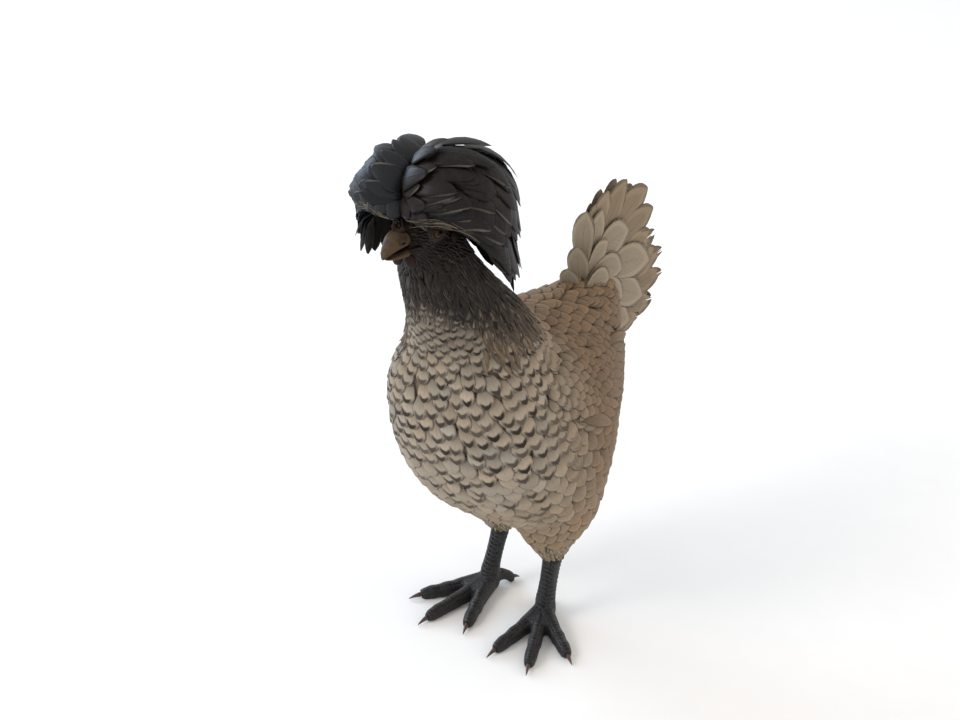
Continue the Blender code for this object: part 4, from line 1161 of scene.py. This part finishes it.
def wingFeathers(surface):
    spec = wingSpec
    for name, side in sides:
        rng = np.random.default_rng(41 + side)

        def wanted(points):
            return (wingInside(points[:, 1], points[:, 2]) > 0.05) & (points[:, 0] * side > 10)

        roots = surface.scattered(evenly(spec["gap"]), wanted, 12 + side)
        _, y, z = roots.T
        count = len(roots)
        lengths = mixed(*spec["length"], ease(y, -40, 60)) * rng.uniform(0.9, 1.1, count)
        raised = spec["bulge"] * wingInside(y, z)
        heights = (raised - 0.1 * lengths, raised + 0.6)
        laid = laidTracks(surface, roots, lengths, spec["stations"], *heights, 0.09, rng, wingLie)
        coat = Coat("wing_feathers_" + name, (0, 0, 165))
        small = (*laid, spec["half"] * rng.uniform(0.85, 1.1, count), "covert")
        for tracks, facing, halves, shape in ((*flightFeathers(surface, side, rng), "flight"), small):
            tint, dark, crescent, rim = markings(tracks[:, 5])
            front = crescent * rng.uniform(0.5, 1, len(tint))
            mark = np.stack([front, rim * rng.uniform(0.6, 1, len(tint)), dark], 1)
            coat.add(tracks, facing, halves, spec[shape], shaded(tint, rng, 0.07), mark, rng)
        coat.build("palePlumage", ["wing_" + name])


# Tail: a tall folded fan of broad feathers, with coverts over its base

tailSpec = {
    # each is root and tip (y, z), how far the middle bows up, half breadth, how far out root and tip are
    "blades": (
        (((90, 226), (95, 269)), 3, 8.0, 1.0, 2.0), (((90, 222), (112, 275)), 3, 12.5, 1.2, 3.0),
        (((94, 220), (135, 273)), 4, 13.0, 1.5, 4.0), (((97, 216), (164, 256)), 9, 13.5, 1.8, 5.0),
        (((100, 209), (172, 240)), 6, 12.0, 2.0, 6.5),
    ),
    "frayed": (
        (((102, 204), (176, 222)), 3, 11.5, 2.2, 8.0), (((104, 200), (183, 203)), 1, 11.0, 2.5, 9.0),
        (((104, 196), (186, 186)), -1, 10.5, 2.8, 9.5), (((102, 192), (172, 170)), -3, 10.5, 3.0, 9.5),
        (((100, 190), (153, 163)), -4, 10.5, 3.2, 9.0),
    ),
    "coverts": (
        (((88, 222), (101, 264)), 2, 10.0, 2.6, 4.5), (((88, 224), (134, 236)), 6, 13.0, 3.4, 7.0),
        (((94, 214), (162, 203)), 6, 13.0, 4.0, 9.5), (((96, 206), (152, 180)), 2, 12.0, 4.6, 10.5),
        (((94, 200), (134, 168)), -2, 10.5, 5.0, 10.5), (((80, 220), (104, 240)), 3, 9.0, 5.0, 7.5),
        (((80, 218), (121, 213)), 6, 10.5, 6.0, 10.0), (((82, 210), (120, 192)), 4, 10.5, 7.0, 12.0),
        (((82, 204), (112, 178)), 1, 9.5, 8.0, 13.0), (((72, 216), (98, 216)), 4, 8.5, 9.0, 12.5),
        (((74, 208), (100, 196)), 3, 8.5, 10.5, 14.5),
    ),
    "front": (
        (((82, 226), (86, 269)), 3.2, 8.0, 0.6, 0.6), (((81, 211), (74, 247)), 2, 7.8, 0.8, 0.8),
        (((71, 211), (62, 235)), 2, 6.6, 0.8, 0.8),
    ),
    # group, shape, roll in degrees, tone, sides
    "order": (
        ("blades", "whole", 3, "blade", (1, -1)), ("frayed", "split", 3, "blade", (1, -1)),
        ("coverts", "whole", 3, "cover", (1, -1)), ("front", "whole", 76, "cover", (1,)),
    ),
    "stations": 10, "blade": (0.222, 0.168, 0.108), "cover": (0.262, 0.216, 0.158),
    "whole": {
        "columns": 10, "stations": (0, 0.15, 0.32, 0.5, 0.64, 0.76, 0.85, 0.915, 0.96, 0.985, 0.997, 1),
        "breadth": lambda t: rounded(t, 0.3, 0.2, 0.68),
        "camber": 0.06, "bow": 0.02, "thick": 0.4, "fray": 0.006,
    },
    "split": {
        "columns": 14, "stations": (0, 0.15, 0.32, 0.5, 0.66, 0.79, 0.88, 0.94, 0.98, 1),
        "breadth": lambda t: rounded(t, 0.3, 0.2, 0.70),
        "camber": 0.06, "bow": 0.02, "thick": 0.5, "fray": 0.17,
    },
}


def tailTracks(blades, roll, mirrored, rng):
    tracks, facing, halves = [], [], []
    for side in mirrored:
        for ends, bow, half, rootOut, tipOut in blades:
            root, tip = np.array(ends, float)
            tip = root + (tip - root) * rng.uniform(0.97, 1.03)
            share = np.linspace(0, 1, tailSpec["stations"])[:, None]
            way = unit(tip - root)
            bowed = np.array((-way[1], way[0])) * bow * np.sin(share * math.pi)
            path = root + (tip - root) * share + bowed
            out = mixed(rootOut, tipOut, share**0.7) * side
            path = np.hstack([out, path])
            ahead = unit(path[-1] - path[1])
            face = unit(np.array((side, 0, 0)) - ahead * side * ahead[0])
            face = rolled(face[None], ahead[None], -roll * side)[0]
            tracks.append(path)
            facing.append(np.tile(face, (len(path), 1)))
            halves.append(half * rng.uniform(0.96, 1.04))
    return np.array(tracks), np.array(facing), np.array(halves)


def tailFeathers():
    rng = np.random.default_rng(51)
    coat = Coat("tail_feathers", (0, 120, 215))
    for group, shape, roll, tone, mirrored in tailSpec["order"]:
        tracks, facing, halves = tailTracks(tailSpec[group], roll, mirrored, rng)
        count = len(halves)
        tint = shaded(np.array(tailSpec[tone]) * np.ones((count, 1)), rng, 0.04)
        mark = np.stack([np.zeros(count), np.full(count, 0.8), np.zeros(count)], 1)
        coat.add(tracks, facing, halves, tailSpec[shape], tint, mark, rng)
    coat.build("tailPlumage", ["tail"])


# Legs

legSpec = {
    "voxel": 0.8, "swell": 0.25, "toes": {"inner": (-29, 32), "middle": (0, 39), "outer": (29, 29)},
    "left": {"side": 1, "hem": (25.5, 4.5), "ankle": (24.6, -2.5), "ball": (24.4, -5), "heading": 21},
    "right": {"side": -1, "hem": (-24, 18), "ankle": (-27.2, 9.5), "ball": (-27.8, 8), "heading": -14},
    "columns": ((-27, 1.0), (27, 1.0), (90, 0.7), (-90, 0.7), (180, 0.9)),
    "shank": {
        "top": 49.5, "foot": 13, "hemHeight": 48, "ankleHeight": 17, "reach": 9.5,
        "step": 3.0, "half": 3.5, "length": 4.4,
    },
    "toe": {"root": 12, "past": 18.5, "step": 2.7, "half": 3.3, "length": 4.0},
    "lowShade": (0.62, 0.58, 0.54),
    "scute": {
        "columns": 6, "stations": (0, 0.3, 0.65, 0.88, 1),
        "breadth": lambda t: 1 - 0.18 * np.asarray(t) ** 4,
        "camber": 0.36, "bow": 0.06, "thick": 0.4,
    },
}


def legFinish():
    finish = Finish("legScale", Specular_IOR_Level=0.45)
    fine = finish.noise(900, 3)
    seam = finish.cells(420.0, "DISTANCE_TO_EDGE").between(0.0, 0.12)
    plate = finish.blend(fine, (0.012, 0.0125, 0.0145), (0.030, 0.030, 0.032))
    tone = finish.blend(seam, (0.006, 0.006, 0.007), plate)
    _, _, height = finish.split(finish.place())
    tone = finish.blend(height.between(0.018, 0.011), tone, finish.multiplied(tone, legSpec["lowShade"]))
    finish.bump(seam + fine * 0.3, 0.7, 0.0005)
    finish.wear(Base_Color=tone, Roughness=0.42 + fine * 0.2)


def clawFinish():
    finish = Finish("clawHorn", Specular_IOR_Level=0.5)
    fine = finish.noise(500, 4)
    tone = finish.blend(fine, (0.040, 0.022, 0.016), (0.095, 0.045, 0.030))
    finish.bump(fine, 0.3, 0.0003)
    finish.wear(Base_Color=tone, Roughness=0.3 + fine * 0.15)


def struckFrom(tree, start, way):
    place, normal, _, _ = tree.ray_cast(tuple(start), tuple(way))
    return (np.array(place), np.array(normal)) if place is not None else (None, None)


def shankScutes(tree, leg):
    # two columns of broad plates down the front of the shank, and one behind
    spec = legSpec["shank"]
    for column, (turn, breadth) in enumerate(legSpec["columns"]):
        way = math.radians(leg["heading"] + turn)
        out = np.array((math.sin(way), -math.cos(way), 0))
        z = spec["top"] - 1.5 * (column % 2)
        while z > spec["foot"]:
            t = (spec["hemHeight"] - z) / (spec["hemHeight"] - spec["ankleHeight"])
            middle = np.array((*mixed(leg["hem"], leg["ankle"], t), z))
            place, normal = struckFrom(tree, middle + out * 30, -out)
            if place is not None and np.linalg.norm(place - middle) < spec["reach"]:
                down = np.array((0, 0, -1.0))
                yield place, unit(normal * (1, 1, 0.2)), down, spec["half"] * breadth, spec["length"]
            z -= spec["step"]


def toeScutes(tree, leg):
    spec = legSpec["toe"]
    for turn, length in legSpec["toes"].values():
        heading = math.radians(leg["heading"] + turn * leg["side"])
        way = np.array((math.sin(heading), -math.cos(heading), 0))
        reach = spec["root"]
        while reach < spec["past"] + length:
            start = np.array((*leg["ball"], 40)) + way * reach
            place, normal = struckFrom(tree, start, (0, 0, -1))
            if place is not None and normal[2] > 0.3:
                along = unit(way - normal * way.dot(normal))
                narrower = 1 - 0.22 * (reach - spec["root"]) / length
                yield place, normal, along, spec["half"] * narrower, spec["length"]
            reach += spec["step"]


def scutes(side, obj):
    leg = legSpec[side]
    faces = [tuple(p.vertices) for p in obj.data.polygons]
    tree = BVHTree.FromPolygons(birdPoints(obj.data).tolist(), faces)
    rng = np.random.default_rng(61)
    tracks, facing, halves = [], [], []
    for place, normal, way, half, length in [*shankScutes(tree, leg), *toeScutes(tree, leg)]:
        way = unit(way - normal * way.dot(normal))
        share = np.linspace(-0.3, 0.7, 4)[:, None]
        raised = normal * (0.08 + 0.24 * (share + 0.3))
        tracks.append(place + way * share * length * rng.uniform(0.92, 1.08) + raised)
        facing.append(np.tile(normal, (4, 1)))
        halves.append(half * rng.uniform(0.94, 1.06))
    tracks, facing, halves = np.array(tracks), np.array(facing), np.array(halves)
    coat = Coat("scutes_" + side, (*leg["ankle"], 20))
    low = tracks[:, 0, 2:] < 15
    tone = rng.uniform(0.8, 1.25, (len(halves), 1)) * np.where(low, legSpec["lowShade"], 1.0)
    coat.add(tracks, facing, halves, legSpec["scute"], tone, tone, rng)
    coat.build("scuteHorn", [])


def scuteFinish():
    finish = Finish("scuteHorn", Specular_IOR_Level=0.45)
    _, along = finish.vane()
    fine = finish.noise(900, 3)
    tone = finish.blend(along.between(0.35, 1.0), (0.010, 0.010, 0.012), (0.034, 0.034, 0.037))
    tone = finish.blend(fine * 0.4, tone, (0.020, 0.017, 0.015))
    tone = finish.multiplied(tone, finish.painted("tint"))
    finish.bump(fine + (along * 24).sine() * 0.15, 0.4, 0.0003)
    finish.wear(Base_Color=tone, Roughness=0.38 + fine * 0.2)


def makeLegs():
    toes = [*legSpec["toes"], "hind"]
    for side in ("left", "right"):
        nodes = [f"shank_{side}", f"foot_{side}"] + [f"toe_{side}_{toe}" for toe in toes]
        obj = objectFrom(mergedCopy(nodes, legSpec["swell"]), "leg_" + side, "legScale")
        remeshed(obj, legSpec["voxel"], 4)
        for v in obj.data.vertices:
            v.co.z = max(v.co.z, 0)
        obj.data.shade_smooth()
        dress(obj, nodes)
        scutes(side, obj)
        for toe in toes:
            node = f"claw_{side}_{toe}"
            smoothCopy(node, node + "_horn", "clawHorn")


def smoothCopy(node, name, material):
    # a CAD node's own form with its facets rounded off
    obj = objectFrom(mergedCopy([node]), name, material)
    softer = obj.modifiers.new("round", "SUBSURF")
    softer.levels = softer.render_levels = 2
    evaluated(obj)
    obj.data.shade_smooth()
    return dress(obj, [node])


# Head

def hornFinish():
    finish = Finish("beakHorn", Specular_IOR_Level=0.18)
    fine, broad = finish.noise(700, 4), finish.noise(120, 3)
    tone = finish.ramp(broad, (
        (0.3, (0.036, 0.021, 0.011)), (0.5, (0.080, 0.049, 0.024)), (0.72, (0.026, 0.016, 0.010)),
    ))
    tone = finish.blend(fine * 0.35, tone, (0.030, 0.018, 0.012))
    finish.bump(fine + broad, 0.4, 0.0004)
    finish.wear(Base_Color=tone, Roughness=0.36 + fine * 0.2)


def fleshFinish(name, light, deep):
    finish = Finish(name, Specular_IOR_Level=0.15)
    cells = finish.cells(900.0)
    broad = finish.noise(220, 3)
    tone = finish.blend(broad, deep, light)
    finish.bump(cells + broad, 0.5, 0.0003)
    finish.wear(Base_Color=tone, Roughness=0.45 + cells * 0.2)


def eyeFinish():
    finish = Finish("eyeGloss", Coat_Weight=0.14, Coat_Roughness=0.06, Specular_IOR_Level=0.04)
    away, _, _ = finish.split(finish.node("UVMap", {"uv_map": "iris"}, {}))
    rays = finish.noise(600, 3)
    tone = finish.ramp(away + (rays - 0.5) * 0.03, (
        (0.0, (0.002, 0.002, 0.002)), (0.17, (0.002, 0.002, 0.002)), (0.20, (0.032, 0.015, 0.007)),
        (0.33, (0.058, 0.027, 0.012)), (0.42, (0.016, 0.009, 0.006)), (0.50, (0.008, 0.005, 0.004)),
    ))
    finish.wear(Base_Color=tone, Roughness=0.20 + rays * 0.1)


def makeEyes():
    for name, side in sides:
        bm = bmesh.new()
        bmesh.ops.create_uvsphere(bm, u_segments=40, v_segments=26, radius=head["eyeRadius"] * mm)
        facing = eyeFacing(side)
        layer = bm.loops.layers.uv.new("iris")
        for face in bm.faces:
            for loop in face.loops:
                away = loop.vert.co.normalized().angle(facing) / math.pi * 1.6
                loop[layer].uv = (away, 0.5)
        centre = Vector(toRow(fromHead(eyePlace(side))))
        bmesh.ops.translate(bm, vec=centre, verts=bm.verts[:])
        obj = objectFrom(bm, f"eyeball_{name}", "eyeGloss")
        dress(obj, ["eye_" + name])


faceSpec = {
    # each ring's radius, thickness and how far out it sits
    "lids": ((3.9, 0.75, 2.3), (5.0, 0.85, 1.5), (6.1, 0.85, 0.7)), "lidOval": (1.12, 0.88),
    "mouth": ((0, -33.5, -4.35), (6.4, 12.5, 1.0)), "corner": ((9.1, -25.8, -4.8), (1.2, 4.8, 0.7), -24),
    "coat": {
        "gap": 1.6, "lengths": (3.6, 5.6), "halves": (0.7, 1.0), "lift": (0.10, 0.15), "sway": 0.15,
        "roundEye": 7.6, "tone": 1.35,
    },
    "down": {
        "columns": 2, "stations": (0, 0.3, 0.6, 0.85, 1), "breadth": pointed,
        "camber": 0.25, "bow": 0.02, "thick": 0.25,
    },
    "hair": {
        "columns": 2, "stations": (0, 0.1, 0.2, 0.3, 0.4, 0.5, 0.6, 0.7, 0.8, 0.9, 1),
        "breadth": lambda t: pointed(t, 0.3, 0.5, 0.1), "camber": 0.2, "bow": 0, "thick": 0.25,
    },
    "hairs": {
        "count": 44, "stations": 11, "start": 0.75, "share": (0.22, 0.45), "stray": 1.0,
        "near": 4, "off": 0.45, "halves": (0.16, 0.28), "tint": (0.19, 0.160, 0.115),
    },
    "rim": (
        (3.0, -31.5, 11.0), (9.0, -32.5, 13.2), (17.8, -31.4, 14.8), (24.2, -27.5, 14.6),
        (31.7, -23.3, 12.6), (37.0, -17.5, 8.4), (43.0, -10.0, 2.0), (46.0, -2.0, -5.0),
        (47.0, 8.0, -11.0),
    ),
}


def eyeFacing(side):
    return Vector(headTurn @ unit(np.array((side * 0.95, -0.30, 0.02))))


def makeLids():
    for name, side in sides:
        facing = eyeFacing(side)
        bm = bmesh.new()
        for radius, thick, out in faceSpec["lids"]:
            ring = bmesh.ops.create_circle(bm, segments=10, radius=thick * mm)["verts"]
            bmesh.ops.rotate(bm, matrix=Matrix.Rotation(math.pi / 2, 3, "X"), verts=ring)
            bmesh.ops.translate(bm, vec=(radius * mm, 0, 0), verts=ring)
            edges = list({edge for v in ring for edge in v.link_edges})
            turned = {"axis": (0, 0, 1), "angle": 2 * math.pi, "steps": 40, "use_merge": True}
            bmesh.ops.spin(bm, geom=ring + edges, **turned)
            fresh = [v for v in bm.verts if not v.tag]
            for v in fresh:
                turn = math.atan2(v.co.y, v.co.x)
                v.co.x *= faceSpec["lidOval"][0]
                v.co.y *= faceSpec["lidOval"][1] * (1 - 0.06 * math.sin(turn))
                v.co.z += (out + 0.18 * math.sin(turn * 7 + radius)) * mm
                v.tag = True
        bmesh.ops.recalc_face_normals(bm, faces=bm.faces[:])
        along = Vector((0, 0, 1)).cross(facing).normalized()
        turn = Matrix((along, facing.cross(along), facing)).transposed()
        bmesh.ops.rotate(bm, matrix=turn, verts=bm.verts[:])
        bmesh.ops.translate(bm, vec=Vector(toRow(fromHead(eyePlace(side)))), verts=bm.verts[:])
        obj = objectFrom(bm, "lids_" + name, "lidSkin")
        dress(obj, [])


def makeMouth():
    # the dark lining between the halves of the beak, and the soft corners behind them
    bm = bmesh.new()
    centre, radii = faceSpec["mouth"]
    mound(bm, fromHead(centre), radii)
    (x, y, z), radii, turn = faceSpec["corner"]
    for side in (1, -1):
        mound(bm, fromHead((side * x, y, z)), radii, side * turn, 24, 14)
    dress(objectFrom(bm, "mouth", "mouthSkin"), [])


def faceLie(points, normals):
    x, _, z = points.T
    way = np.stack([0.2 * np.sign(x), np.full(len(x), 0.9), -0.5 - 0.03 * np.clip(330 - z, 0, 20)], 1)
    return unit(way - normals * dot(way, normals))


def faceFeathers(surface):
    spec = faceSpec["coat"]
    rng = np.random.default_rng(71)

    def faceWanted(points):
        local = (points - headCentre) @ headTurn
        _, y, z = local.T
        clear = (y > -28.0) | (z < -8)
        for side in (1, -1):
            eye = eyePlace(side) + np.array((side, -0.3, 0)) * 2
            clear &= np.linalg.norm(local - eye, axis=1) > spec["roundEye"]
        return clear & (z > -27) & (z < 24) & (y > -29.5)

    roots = surface.scattered(evenly(spec["gap"]), faceWanted, 9)
    count = len(roots)
    lengths = rng.uniform(*spec["lengths"], count)
    heights = (-0.4, tipLift(spec, count, rng))
    tracks, facing = laidTracks(surface, roots, lengths, 5, *heights, spec["sway"], rng, faceLie)
    tint, dark, _, _ = markings(roots)
    mark = np.stack([np.where(rng.random(count) < 0.12, 0.35, 0.03), np.zeros(count), dark], 1)
    coat = Coat("face_feathers", headCentre)
    halves = rng.uniform(*spec["halves"], count)
    tint = shaded(tint * spec["tone"], rng, 0.2)
    coat.add(tracks, facing, halves, faceSpec["down"], tint, mark, rng)
    coat.build("hackle", ["head"])


def curveThrough(points, shares):
    fine = np.linspace(0, 1, 60)
    smooth = readThrough(fine, np.linspace(0, 1, len(points)), points)
    for _ in range(30):
        smooth[1:-1] = (smooth[:-2] + smooth[2:] + 2 * smooth[1:-1]) / 4
    return readThrough(shares, fine, smooth)


def rimHairs():
    # fine pale strands that lie on the crest's lower rim, over the eye and down behind it
    rng = np.random.default_rng(91)
    coat = Coat("rim_hairs", headCentre)
    spec = faceSpec["hairs"]
    stations = spec["stations"]
    for name, side in sides:
        tracks = []
        mesh = bpy.data.objects["crest_feathers_" + name].data
        tree = BVHTree.FromPolygons([v.co for v in mesh.vertices], [p.vertices for p in mesh.polygons])
        for _ in range(spec["count"]):
            start = rng.uniform(0, spec["start"])
            shares = np.linspace(start, min(start + rng.uniform(*spec["share"]), 1), stations)
            drift = np.linspace(0, 1, stations)[:, None] * rng.normal(0, spec["stray"], 3)
            path = curveThrough(faceSpec["rim"], shares) + rng.normal(0, spec["stray"], 3) + drift
            path = toRow(fromHead(path * (side, 1, 1)))
            for k, place in enumerate(path):
                near, _, _, far = tree.find_nearest(Vector(place))
                if far < spec["near"] * mm:
                    path[k] = near + (Vector(place) - near).normalized() * spec["off"] * mm
            for _ in range(3):
                path[1:-1] = (path[:-2] + path[2:] + 2 * path[1:-1]) / 4
            tracks.append(fromRow(path))
        tracks = np.array(tracks)
        count = len(tracks)
        facing = unit(tracks - fromHead((side * 13, 0, 8)))
        tint = np.array(spec["tint"]) * rng.uniform(0.3, 1.1, (count, 1))
        halves = rng.uniform(*spec["halves"], count)
        coat.add(tracks, facing, halves, faceSpec["hair"], tint, np.zeros((count, 3)), rng)
    coat.build("hackle", [])


def makeFace():
    makeLids()
    makeMouth()
    for node in ("beak_upper", "beak_lower"):
        smoothCopy(node, node + "_horn", "beakHorn")
    smoothCopy("comb", "comb_skin", "combSkin")
    for side in ("left", "right"):
        smoothCopy("wattle_" + side, "wattle_skin_" + side, "lobeSkin")
        smoothCopy("earlobe_" + side, "earlobe_skin_" + side, "lobeSkin")


fleshTones = {
    "combSkin": ((0.024, 0.009, 0.005), (0.011, 0.005, 0.004)),
    "lobeSkin": ((0.024, 0.011, 0.011), (0.011, 0.006, 0.006)),
    "lidSkin": ((0.052, 0.035, 0.025), (0.012, 0.008, 0.006)),
    "mouthSkin": ((0.020, 0.007, 0.005), (0.010, 0.004, 0.003)),
}


def makeFinishes():
    floorFinish()
    skinFinish()
    plumageFinish("palePlumage", plumageSpec)
    plumageFinish("tailPlumage", tailPlumageSpec)
    crestFinish()
    hackleFinish()
    scuteFinish()
    legFinish()
    clawFinish()
    hornFinish()
    eyeFinish()
    for name, (light, deep) in fleshTones.items():
        fleshFinish(name, light, deep)


setCamera()
setLights()
makeFinishes()
setFloor()
print("stage and finishes made")
hull, hullObject = fleshSurface()
makeSkin(hull, hullObject)
bodyFeathers(hull)
hemFluff(hull)
neckFeathers(hull)
faceFeathers(hull)
wingFeathers(hull)
tailFeathers()
crestFeathers()
rimHairs()
makeLegs()
makeEyes()
makeFace()
print("pieces made")
